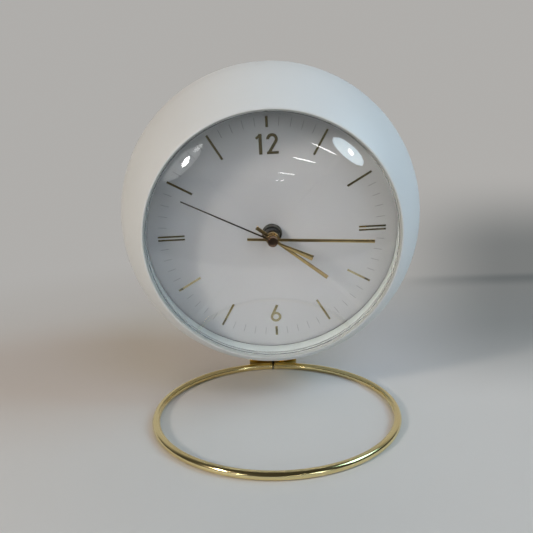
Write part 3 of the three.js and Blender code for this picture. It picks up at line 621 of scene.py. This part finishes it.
# Painted shade: nearer the middle than the outer face, on the mouth's rounded edge and inside, the white
# turns a darker grey.
point = white_paint.add("ShaderNodeTexCoord", output="Object")
ends = {0: point, 1: BALL_MIDDLE}
from_middle = white_paint.add("ShaderNodeVectorMath", {"operation": "DISTANCE"}, ends, "Value")
recolour(white_paint, 1 - from_middle.over(WHITE_START * MM, WHITE_FULL * MM), GREY_PAINTED_SHADE)
rim_radius = MOUTH_RADIUS + RIM_ROUND
rim_ahead = ahead_at(rim_radius, SHELL_RADIUS - RIM_ROUND)
rim_slope = math.atan2(rim_radius, rim_ahead)
rim_angles = [rim_slope - (rim_slope + math.pi / 2) * i / RIM_STEPS for i in range(RIM_STEPS + 1)]
rim = [
    (rim_radius + RIM_ROUND * math.sin(angle), rim_ahead + RIM_ROUND * math.cos(angle))
    for angle in rim_angles
]
lens_seat = ahead_at(LENS_SEAT_RADIUS, SHELL_INSIDE)
front_line = arc(SHELL_RADIUS, SEAM + SEAM_GAP, SHELL_RADIUS * math.cos(rim_slope), 40)[:-1] + rim
front_line += [(MOUTH_RADIUS, lens_seat)] + arc(SHELL_INSIDE, lens_seat, SEAM + SEAM_GAP, 40)
front = soften(turned(front_line, SHELL_SEGMENTS), 0.12, 2)
bosses = [rod(FOOT_BOSS_RADIUS, (x, y, -SHELL_RADIUS), (x, y, -FOOT_BOSS_TOP), 32) for x, y in SCREW_SPOTS]
for quarter in range(4):
    start, end = [clock_point(BOSS_CIRCLE, 45 + 90 * quarter, ahead) for ahead in DIAL_BOSS_REACH]
    bosses.append(rod(DIAL_BOSS_RADIUS, start, end, 24))
for boss in bosses:
    front = carved(front, carved(boss, ball(SHELL_INSIDE + 1), "INTERSECT"), "UNION")
piece("front_shell_painted", front, BALL, white_paint, "stand_and_case", "shell_white", "front_shell")

# Rear shell
# The back of the ball, painted like the front. A lap centres it in the front shell, and round the
# opening a ledge stops the cover, with a shallow notch at its foot for a finger nail.
OPENING_RADIUS = 52
LEDGE = -67.19
LEDGE_SHEET = 2
LEDGE_BORE = 48
LAP_LENGTH = 5
LAP_WALL = 1.5
LAP_GAP = 0.3
NOTCH_HALF_WIDTH = 9
NOTCH_HALF_HEIGHT = 3.2
NOTCH_REACH = (67.5, 88)

seam = SEAM - SEAM_GAP
lap_outer = ahead_at(SEAM, SHELL_INSIDE) - LAP_GAP
lap_inner = lap_outer - LAP_WALL
rear_line = arc(SHELL_RADIUS, seam, -ahead_at(OPENING_RADIUS, SHELL_RADIUS), 30)
rear_line += [(OPENING_RADIUS, LEDGE), (LEDGE_BORE, LEDGE), (LEDGE_BORE, LEDGE + LEDGE_SHEET)]
rear_line += arc(SHELL_INSIDE, LEDGE + LEDGE_SHEET, seam - LAP_LENGTH, 30)
rear_line += [(lap_inner, seam - LAP_LENGTH), (lap_inner, seam + LAP_LENGTH)]
rear_line += [(lap_outer, seam + LAP_LENGTH), (lap_outer, seam)]
rear = turned(rear_line, SHELL_SEGMENTS)
notch = block(
    (-NOTCH_HALF_WIDTH, NOTCH_REACH[0], -OPENING_RADIUS - NOTCH_HALF_HEIGHT),
    (NOTCH_HALF_WIDTH, NOTCH_REACH[1], -OPENING_RADIUS + NOTCH_HALF_HEIGHT),
)
rear = soften(carved(rear, soften(notch, 2, 4)), 0.15, 2)
piece("rear_shell_painted", rear, BALL, white_paint, "stand_and_case", "shell_white", "rear_shell")

# Rear cover
# A push-fit cap that completes the ball over the battery. Its spigot grips inside the ledge, and
# it slides straight out along the axis of the hands.
COVER_EDGE = 51.6
SPIGOT_OUTER = 47.7
SPIGOT_INNER = 46
SPIGOT_LENGTH = 5
COVER_SEAT = -67.49

spigot_end = COVER_SEAT + SPIGOT_LENGTH
cover_line = arc(SHELL_RADIUS, -SHELL_RADIUS, -ahead_at(COVER_EDGE, SHELL_RADIUS), 30)
cover_line += [(COVER_EDGE, COVER_SEAT), (SPIGOT_OUTER, COVER_SEAT)]
cover_line += [(SPIGOT_OUTER, spigot_end), (SPIGOT_INNER, spigot_end)]
cover_line += arc(SHELL_INSIDE, -ahead_at(SPIGOT_INNER, SHELL_INSIDE), -SHELL_INSIDE, 24)
cover = soften(turned(cover_line, SHELL_SEGMENTS), 0.3)
piece("rear_cover_painted", cover, BALL, white_paint, "cover", "shell_white", "rear_cover")

# Lens
# A pressed dome of clear glass whose rim turns out to a flat flange behind the edge of the mouth.
# Light passes through it to the dial, and it is faintly green at its edge.
LENS_EDGE = 65.7
LENS_FLANGE = 68.2
FLANGE_FRONT = 51.37
FLANGE_BACK = 49.37
DOME_START = 55.27
DOME_RISE = 11
GLASS_SHEET = 1.3
DOME_INSIDE = 65.1
FLARE_FOOT = 66.4
REFRACTION = 1.46
GLASS_TINT = colour(0.985, 0.995, 0.99)
GLASS_SHADOW = colour(0.93, 0.945, 0.94)

dome_top = DOME_START + DOME_RISE
dome_curve = (LENS_EDGE ** 2 + DOME_RISE ** 2) / (2 * DOME_RISE)
dome_middle = dome_top - dome_curve
inner_curve = dome_curve - GLASS_SHEET
inner_start = dome_middle + ahead_at(DOME_INSIDE, inner_curve)
lens_line = arc(dome_curve, dome_top, DOME_START, 32, dome_middle)
lens_line += [(LENS_EDGE, FLANGE_FRONT), (LENS_FLANGE, FLANGE_FRONT), (LENS_FLANGE, FLANGE_BACK)]
lens_line += [(FLARE_FOOT, FLANGE_BACK)]
lens_line += arc(inner_curve, inner_start, dome_top - GLASS_SHEET, 32, dome_middle)
glass = Nodes(bpy.data.materials.new("clear_glass"))
shader = glass.tree.nodes["Principled BSDF"]
shader.inputs["Base Color"].default_value = GLASS_TINT
shader.inputs["Transmission Weight"].default_value = 1
shader.inputs["IOR"].default_value = REFRACTION
smears = glass.noise(glass.place(), 30, 4)
glass.feed(shader.inputs["Roughness"], smears.over(0.5, 0.8) * 0.02)
clear = glass.add("ShaderNodeBsdfTransparent", {}, {"Color": GLASS_SHADOW})
shadow_ray = glass.add("ShaderNodeLightPath", output="Is Shadow Ray")
mixed = glass.add("ShaderNodeMixShader", {}, {0: shadow_ray, 1: Wire(glass, shader.outputs[0]), 2: clear})
glass.feed(glass.tree.nodes["Material Output"].inputs["Surface"], mixed)
lens = soften(turned(lens_line, SHELL_SEGMENTS), 0.15)
piece("lens_dome", lens, BALL, glass, "stand_and_case", "lens_clear", "lens")

# Inner wall ring
# A glossy white plastic ring that fills the depth between the lens and the dial. It widens a
# little towards the dial and picks up a trace of green from the glass. A thin black ring at its
# foot is painted shade, a dark line where it meets the dial.
WALL_FRONT = 49.07
WALL_BACK = 38.6
WALL_OUTER = 69.58
WALL_FRONT_INNER = 66.9
WALL_BACK_INNER = 68.5
WALL_WHITE = colour(0.59, 0.64, 0.62)
WALL_SHADE = colour(0.56, 0.61, 0.595)
SHADE_RING_INNER = 68.7
SHADE_RING_OUTER = 69.5
SHADE_RING_BACK = 37.79
RUBBER_AND_SHADE = colour(0.035, 0.035, 0.037)
RUBBER_AND_SHADE_WORN = colour(0.05, 0.05, 0.052)

gloss_white = finish("gloss_white_plastic", WALL_WHITE, WALL_SHADE, (0.18, 0.26), 0.0, 30, 500, 4e-6)
wall_line = [
    (WALL_OUTER, WALL_BACK),
    (WALL_OUTER, WALL_FRONT),
    (WALL_FRONT_INNER, WALL_FRONT),
    (WALL_BACK_INNER, WALL_BACK),
]
wall = soften(turned(wall_line, SHELL_SEGMENTS), 0.15)
piece("wall_ring_gloss", wall, BALL, gloss_white, "stand_and_case", "wall_white", "inner_wall_ring")
# Painted shade: the thin black ring at the wall's foot stands for shade in the gap between wall and dial;
# the same black finish serves the real rubber gasket.
rubber_and_shade = finish("matt_rubber_and_shade", RUBBER_AND_SHADE, RUBBER_AND_SHADE_WORN, (0.75, 0.9), 0.0, 200, 2500, 1.5e-5)
shade_ring_line = [
    (SHADE_RING_INNER, SHADE_RING_BACK),
    (SHADE_RING_OUTER, SHADE_RING_BACK),
    (SHADE_RING_OUTER, WALL_BACK),
    (SHADE_RING_INNER, WALL_BACK),
]
piece("wall_foot_shade_ring", turned(shade_ring_line, SHELL_SEGMENTS), BALL, rubber_and_shade, "stand_and_case", "gasket_rubber")

# Dial
# A pale sheet with a matt face, screwed to the bosses of the shell from behind. The threaded neck
# of the movement passes through its middle. It is seated a little out of true.
DIAL_TURN = math.radians(-1.66)
UNIT = BALL @ Matrix.Rotation(DIAL_TURN, 4, "Y")
DIAL_FRONT = 37.77
DIAL_SHEET = 1.5
DIAL_RADIUS = 76.04
NECK_HOLE = 4.3
SCREW_HOLE = 1.3
DIAL_PALE = colour(0.53, 0.53, 0.545)
DIAL_SHADE = colour(0.51, 0.51, 0.525)

dial_paint = finish("matt_dial_paint", DIAL_PALE, DIAL_SHADE, (0.6, 0.7), 0.0, 22, 2500, 5e-6)
dial_line = [
    (DIAL_RADIUS, DIAL_FRONT - DIAL_SHEET),
    (DIAL_RADIUS, DIAL_FRONT),
    (NECK_HOLE, DIAL_FRONT),
    (NECK_HOLE, DIAL_FRONT - DIAL_SHEET),
]
dial = soften(turned(dial_line, SHELL_SEGMENTS), 0.1, 2)
for quarter in range(4):
    clockwise = 45 + 90 * quarter + math.degrees(DIAL_TURN)
    start = clock_point(BOSS_CIRCLE, clockwise, DIAL_FRONT + 1)
    dial = carved(dial, rod(SCREW_HOLE, start, clock_point(BOSS_CIRCLE, clockwise, DIAL_FRONT - 3), 24))
piece("dial_sheet", dial, UNIT, dial_paint, "stand_and_case", "dial_print", "dial")

# Print on the dial
# Hot stamped brass foil for the bars and for the figures 12 and 6, and thin grey ink for the
# minute marks. Both lie on the face and are only a few hundredths of a millimetre thick.
FOIL_LIFT = 0.01
FOIL_SHEET = 0.05
BAR_INNER = 47.4
BAR_OUTER = 62
BAR_WIDTH = 1.2
PAIR_WIDTH = 1.0
PAIR_SPREAD = 0.95
SHORT_INNER = 56.3
SHORT_WIDTH = 1.35
TICK_INNER = 57
TICK_OUTER = 61.6
TICK_WIDTH = 0.28
FOIL = colour(0.66, 0.56, 0.31)
FOIL_DARK = colour(0.56, 0.46, 0.24)
INK = colour(0.23, 0.23, 0.245)
INK_THIN = colour(0.32, 0.32, 0.335)
BOLD = 1.6

foil_back = DIAL_FRONT + FOIL_LIFT
foil_front = foil_back + FOIL_SHEET


def joined(*meshes):
    """Puts several closed meshes into one."""
    whole = bmesh.new()
    for mesh in meshes:
        data = bpy.data.meshes.new("blank")
        mesh.to_mesh(data)
        mesh.free()
        whole.from_mesh(data)
        bpy.data.meshes.remove(data)
    return whole


def bar(inner, outer, width, clockwise, aside=0.0):
    """A flat bar of print that points at the middle of the dial."""
    mesh = block((aside - width / 2, -foil_front, inner), (aside + width / 2, -foil_back, outer))
    bmesh.ops.rotate(mesh, verts=mesh.verts, matrix=Matrix.Rotation(math.radians(clockwise), 3, "Y"))
    return mesh


def stroke(start, end, width):
    """A flat stroke of print between two points of the face."""
    (x1, z1), (x2, z2) = start, end
    length = math.hypot(x2 - x1, z2 - z1)
    mesh = block((-width / 2, -foil_front, 0), (width / 2, -foil_back, length))
    turn = Matrix.Rotation(math.atan2(x2 - x1, z2 - z1), 4, "Y")
    bmesh.ops.transform(mesh, matrix=Matrix.Translation((x1, 0, z1)) @ turn, verts=mesh.verts)
    return mesh


def bow(middle, radius, width, start, sweep, steps=32):
    """A flat stroke bent round a point of the face; angles in degrees clockwise from the top."""
    mesh = bmesh.new()
    inside, outside = radius - width / 2, radius + width / 2
    spots = ((inside, -foil_back), (outside, -foil_back), (outside, -foil_front), (inside, -foil_front))
    corners = [mesh.verts.new((0, y, z)) for z, y in spots]
    whole = sweep >= 360
    if whole:
        geometry = corners + [mesh.edges.new((corners[i], corners[i - 1])) for i in range(4)]
    else:
        geometry = [mesh.faces.new(corners)]
    bmesh.ops.spin(
        mesh,
        geom=geometry,
        cent=(0, 0, 0),
        axis=(0, 1, 0),
        angle=math.radians(sweep),
        steps=steps,
        use_merge=whole,
    )
    if not whole:
        bmesh.ops.holes_fill(mesh, edges=[edge for edge in mesh.edges if edge.is_boundary])
    bmesh.ops.remove_doubles(mesh, verts=mesh.verts, dist=POINT_GAP)
    bmesh.ops.recalc_face_normals(mesh, faces=mesh.faces)
    turn = Matrix.Rotation(math.radians(start), 4, "Y")
    bmesh.ops.transform(mesh, matrix=Matrix.Translation((middle[0], 0, middle[1])) @ turn, verts=mesh.verts)
    return mesh


def united(first, *others):
    for other in others:
        first = carved(first, other, "UNION")
    return first


foil = finish("brass_foil", FOIL, FOIL_DARK, (0.07, 0.14), 1.0, 120, 3000, 2e-6)
bars = [bar(BAR_INNER, BAR_OUTER, BAR_WIDTH, 30 * hour) for hour in (1, 2, 4, 5, 7, 8, 10, 11)]
pairs = [(hour, side) for hour in (3, 9) for side in (-PAIR_SPREAD, PAIR_SPREAD)]
bars += [bar(BAR_INNER, BAR_OUTER, PAIR_WIDTH, 30 * hour, side) for hour, side in pairs]
bars += [bar(SHORT_INNER, BAR_OUTER, SHORT_WIDTH, 30 * hour) for hour in (0, 6)]
piece("dial_bars", joined(*bars), UNIT, foil, "stand_and_case", "hand_brass")

one = united(
    stroke((-3.7, 42.6), (-3.7, 53.1), 1.75),
    stroke((-5.9, 50.75), (-3.5, 52.65), 1.25),
)
two = united(
    bow((2.4, 50.15), 2.2, BOLD, -90, 212),
    stroke((4.3, 49.05), (0.6, 43.3), BOLD),
    stroke((-0.5, 43.3), (5.6, 43.3), 1.4),
)
six = united(
    bow((0, -50.35), 2.35, 1.45, 0, 360),
    stroke((-2.12, -49.4), (0.95, -43.0), 1.5),
)
piece("dial_figures", joined(one, two, six), UNIT, foil, "stand_and_case", "hand_brass")

ink = finish("grey_ink", INK, INK_THIN, (0.5, 0.6), 0.0, 900, 3000, 2e-6)
ticks = [bar(TICK_INNER, TICK_OUTER, TICK_WIDTH, 6 * minute) for minute in range(60) if minute % 5]
piece("minute_marks", joined(*ticks), UNIT, ink, "stand_and_case", "dial_print")

# Dial screws
# Four small steel screws behind the dial. The frame's own solids are right as they are, with
# their edges broken.


def keep(node, nodes, width=0.12, steps=2):
    """Gives a solid of the frame its finish and breaks its edges."""
    solid = frame["nodes"][node]
    solid.data.materials.clear()
    solid.data.materials.append(nodes.owner)
    weld = solid.modifiers.new("weld", "WELD")
    weld.merge_threshold = POINT_GAP * MM
    bevel = solid.modifiers.new("edges", "BEVEL")
    bevel.width = width * MM
    bevel.segments = steps
    bevel.limit_method = "ANGLE"
    bevel.angle_limit = FOLD
    normals = solid.modifiers.new("shading", "WEIGHTED_NORMAL")
    normals.keep_sharp = True


for number in range(1, 5):
    keep(f"dial_screw_{number}", zinc)

# Gasket, washer and nut
# Rings round the threaded neck: a rubber gasket behind the dial, and in front a thin washer and a
# round nut in black nickel with a flat face, two chamfers and a fine knurl.
NUT_BACK = 38.87
NUT_HEIGHT = 2.4
NUT_RADIUS = 5.2
NUT_BORE = 4.3
NUT_CHAMFER = 0.5
KNURLS = 60
KNURL_FLOOR = 0.985
WASHER_BACK = 38.07
WASHER_RADIUS = 5.5
WASHER_SHEET = 0.5
NICKEL = colour(0.24, 0.23, 0.21)
NICKEL_DARK = colour(0.13, 0.125, 0.115)

black_nickel = finish("black_nickel", NICKEL, NICKEL_DARK, (0.16, 0.30), 1.0, 500, 5000, 3e-6)
nut_front = NUT_BACK + NUT_HEIGHT
nut_line = [
    (NUT_BORE, NUT_BACK),
    (NUT_RADIUS - NUT_CHAMFER, NUT_BACK),
    (NUT_RADIUS, NUT_BACK + NUT_CHAMFER),
    (NUT_RADIUS, nut_front - NUT_CHAMFER),
    (NUT_RADIUS - NUT_CHAMFER, nut_front),
    (NUT_BORE + NUT_CHAMFER, nut_front),
    (NUT_BORE, nut_front - NUT_CHAMFER),
]
nut = turned(nut_line, KNURLS * 2)
for corner in nut.verts:
    radius = math.hypot(corner.co.x, corner.co.z)
    turn = round(math.atan2(corner.co.z, corner.co.x) / math.tau * KNURLS * 2)
    if abs(radius - NUT_RADIUS) < POINT_GAP and turn % 2:
        corner.co.x *= KNURL_FLOOR
        corner.co.z *= KNURL_FLOOR
piece("dial_nut_knurled", nut, UNIT, black_nickel, "stand_and_case", "dark_nickel", "dial_nut")
washer_line = [
    (NUT_BORE, WASHER_BACK),
    (WASHER_RADIUS, WASHER_BACK),
    (WASHER_RADIUS, WASHER_BACK + WASHER_SHEET),
    (NUT_BORE, WASHER_BACK + WASHER_SHEET),
]
washer = soften(turned(washer_line, 96), 0.12)
piece("dial_washer_thin", washer, UNIT, black_nickel, "stand_and_case", "dark_nickel", "dial_washer")
keep("dial_gasket", rubber_and_shade)

# Movement cases
# Two halves of black moulded plastic with a fine spark-eroded grain. The front one carries the
# threaded neck, and the rear one is open over the battery.
BLACK = colour(0.022, 0.022, 0.024)
BLACK_WORN = colour(0.034, 0.034, 0.036)

black_plastic = finish("grained_black_plastic", BLACK, BLACK_WORN, (0.42, 0.58), 0.0, 90, 1800, 2.5e-5)
for node in ("movement_front_case", "movement_rear_case"):
    keep(node, black_plastic, 0.4, 3)

# Battery cell
# A steel can of AA size in a printed film, with a band of a second colour at one end. It lies across
# the movement, between its two contacts.
FILM = colour(0.10, 0.15, 0.21)
FILM_BAND = colour(0.42, 0.25, 0.10)
BAND_START = (11.8 * MM, 12.0 * MM)

film = Nodes(bpy.data.materials.new("cell_film"))
shader = film.tree.nodes["Principled BSDF"]
place = film.place()
on_band = film.coordinate(place, 0).over(*BAND_START)
film.feed(shader.inputs["Base Color"], film.blend(on_band, FILM, FILM_BAND))
film.feed(shader.inputs["Roughness"], film.noise(place, 400, 3) * 0.12 + 0.28)
film.feed(shader.inputs["Normal"], film.bump(film.noise(place, 900, 2), 4e-6))
shader.inputs["Metallic"].default_value = 0.6
keep("battery_cell", film, 0.5, 3)

# Contacts
# Thin plates of nickel plated spring steel, cut from strip. One of them presses on each end of the
# cell.
PLATED = colour(0.66, 0.64, 0.60)
PLATED_DULL = colour(0.52, 0.50, 0.47)

plated = finish("nickel_plate", PLATED, PLATED_DULL, (0.25, 0.40), 1.0, 250, 3000, 4e-6)
for node in ("battery_contact_left", "battery_contact_right"):
    keep(node, plated, 0.08)

# Circuit board, crystal, coil and stator
# Green fibre board with a can crystal, and the stepping motor: a coil of enamelled copper wire
# on a core, whose ends lie on the legs of a thin plated stator.
MASK = colour(0.02, 0.12, 0.055)
MASK_LIGHT = colour(0.035, 0.17, 0.08)
COPPER = colour(0.62, 0.26, 0.12)
COPPER_DARK = colour(0.40, 0.14, 0.06)

solder_mask = finish("green_board", MASK, MASK_LIGHT, (0.35, 0.5), 0.0, 350, 1500, 8e-6)
keep("circuit_board", solder_mask, 0.08)
keep("quartz_crystal", plated, 0.2, 3)
keep("motor_stator", plated, 0.06)
winding = finish("enamelled_wire", COPPER, COPPER_DARK, (0.22, 0.35), 1.0, 200, 1600, 3e-5, (6, 0.4, 0.4))
keep("motor_coil", winding, 0.2)

# Wheels
# Moulded in natural acetal: three wheels of the train and the motion wheel. The rotor that drives
# them is for the most part a small dark magnet.
ACETAL = colour(0.66, 0.64, 0.57)
ACETAL_SHADE = colour(0.60, 0.575, 0.50)
MAGNET = colour(0.10, 0.10, 0.105)
MAGNET_DARK = colour(0.06, 0.06, 0.065)

acetal = finish("natural_acetal", ACETAL, ACETAL_SHADE, (0.3, 0.42), 0.0, 260, 2200, 4e-6)
for node in ("step_wheel", "third_wheel", "centre_wheel", "motion_wheel"):
    keep(node, acetal, 0.06)
magnet = finish("sintered_magnet", MAGNET, MAGNET_DARK, (0.35, 0.5), 1.0, 400, 3000, 6e-6)
keep("motor_rotor", magnet, 0.06)

# Shafts of the hands
# A pin and two tubes in turned brass, one inside the other, that carry the hands in front of the
# dial. Each is one piece with its wheel in the movement.
SHAFT = colour(0.60, 0.46, 0.22)
SHAFT_DARK = colour(0.45, 0.33, 0.15)

shaft_brass = finish("turned_brass", SHAFT, SHAFT_DARK, (0.2, 0.32), 1.0, 400, 3000, 4e-6)
for node in ("second_arbor", "minute_arbor", "hour_wheel"):
    keep(node, shaft_brass, 0.06)

# Setting knob
# A grooved black plastic knob on the motion wheel's shaft, at the back of the movement. It is turned
# through the rear opening to set the hands.
keep("time_set_knob", black_plastic, 0.25, 3)

# Hands
# Stamped from brass sheet and polished, with broken edges. The hour and minute hands have collars
# that are pushed over their shafts. The needle and its round cap are coloured dark.
HAND_SHEET = 0.5
HOUR_BLADE = (10.6, 2.1, 37, 2.1, 1.5)
MINUTE_BLADE = (13.3, 1.4, 53.8, 1.8, 1.5)
SECOND_BLADE = (23.3, 3, 51.3, 0.6, 0.8)
HOUR_TURN = 129.2
MINUTE_TURN = 94
HAND_BRASS = colour(0.74, 0.54, 0.25)
HAND_BROWN = colour(0.62, 0.43, 0.18)

brushed = finish("brushed_brass", HAND_BRASS, HAND_BROWN, (0.07, 0.14), 1.0, 120, 2600, 2e-6)


def blade(lift, clockwise, outline_sizes, broken_edge=0.12):
    """The flat part of a hand; its sizes are the tail's length and width, the tip's and the neck's."""
    tail, tail_width, tip, tip_width, neck_width = outline_sizes
    face_back = -(DIAL_FRONT + lift)
    outline = [
        (-tail_width / 2, -tail),
        (tail_width / 2, -tail),
        (neck_width / 2, 0),
        (tip_width / 2, tip),
        (-tip_width / 2, tip),
        (-neck_width / 2, 0),
    ]
    mesh = bmesh.new()
    face = mesh.faces.new([mesh.verts.new((x, face_back, z)) for x, z in outline])
    swept = bmesh.ops.extrude_face_region(mesh, geom=[face], use_keep_orig=True)
    moved = [item for item in swept["geom"] if isinstance(item, bmesh.types.BMVert)]
    bmesh.ops.translate(mesh, verts=moved, vec=(0, -HAND_SHEET, 0))
    bmesh.ops.recalc_face_normals(mesh, faces=mesh.faces)
    soften(mesh, broken_edge)
    bmesh.ops.rotate(mesh, verts=mesh.verts, matrix=Matrix.Rotation(math.radians(clockwise), 3, "Y"))
    return mesh


def hand(name, body, lift, clockwise, outline_sizes, hub_radius, bore, drop, stood_for):
    """A hand on a collar that is open at both ends."""
    back = DIAL_FRONT + lift
    front = back + HAND_SHEET
    collar_line = [(bore, back - drop), (hub_radius, back - drop), (hub_radius, front), (bore, front)]
    collar = soften(turned(collar_line, 64), 0.1)
    mesh = carved(blade(lift, clockwise, outline_sizes), collar, "UNION")
    mesh = carved(mesh, rod(bore, (0, -back + drop + 1, 0), (0, -front - 1, 0), 64))
    piece(name, mesh, UNIT, brushed, body, "hand_brass", stood_for)


hand(
    "hour_hand_brushed",
    "hour_work",
    lift=10.2,
    clockwise=HOUR_TURN,
    outline_sizes=HOUR_BLADE,
    hub_radius=3.55,
    bore=2.85,
    drop=1.4,
    stood_for="hour_hand",
)
hand(
    "minute_hand_brushed",
    "minute_work",
    lift=11.8,
    clockwise=MINUTE_TURN,
    outline_sizes=MINUTE_BLADE,
    hub_radius=2.75,
    bore=2.05,
    drop=0.4,
    stood_for="minute_hand",
)

CAP_RADIUS = 2.7
CAP_BORE = 1.05
SECOND_LIFT = 13.7
CAP_HEIGHT = 2.6
CAP_DROP = 0.3
BORE_TOP = 2.1
NEEDLE_HOLE = 2
NEEDLE_TURN = 297.2
DARK_FADE = 0.4
NEEDLE_DARK = colour(0.16, 0.12, 0.08)
CAP_DARK = colour(0.33, 0.20, 0.14)

needle_back = DIAL_FRONT + SECOND_LIFT
cap_back = needle_back - CAP_DROP
cap_front = needle_back + CAP_HEIGHT
cap_line = [
    (0, needle_back + BORE_TOP),
    (CAP_BORE, needle_back + BORE_TOP),
    (CAP_BORE, cap_back),
    (CAP_RADIUS, cap_back),
    (CAP_RADIUS, cap_front),
    (0, cap_front),
]
needle = blade(SECOND_LIFT, NEEDLE_TURN, SECOND_BLADE, 0.06)
needle = carved(needle, rod(NEEDLE_HOLE, (0, -cap_back, 0), (0, -cap_front, 0), 32))
second = carved(needle, soften(turned(cap_line, 64), 0.3), "UNION")
needle_brass = finish("needle_brass", HAND_BRASS, HAND_BROWN, (0.07, 0.14), 1.0, 120, 2600, 2e-6)
# From the edge of the cap on the tail's side outward, the cap and the needle are coloured dark brown.
way = (UNIT.to_3x3() @ Vector(clock_point(1, NEEDLE_TURN, 0))).normalized()
along_needle = reach_along(needle_brass, way)
past_wedge = along_needle.over(-(CAP_RADIUS + DARK_FADE) * MM, -CAP_RADIUS * MM)
past_cap = along_needle.over(CAP_RADIUS * MM, (CAP_RADIUS + DARK_FADE) * MM)
recolour(needle_brass, past_wedge, needle_brass.blend(past_cap, CAP_DARK, NEEDLE_DARK))
piece("second_hand_brushed", second, UNIT, needle_brass, "second_work", "hand_brass", "second_hand")
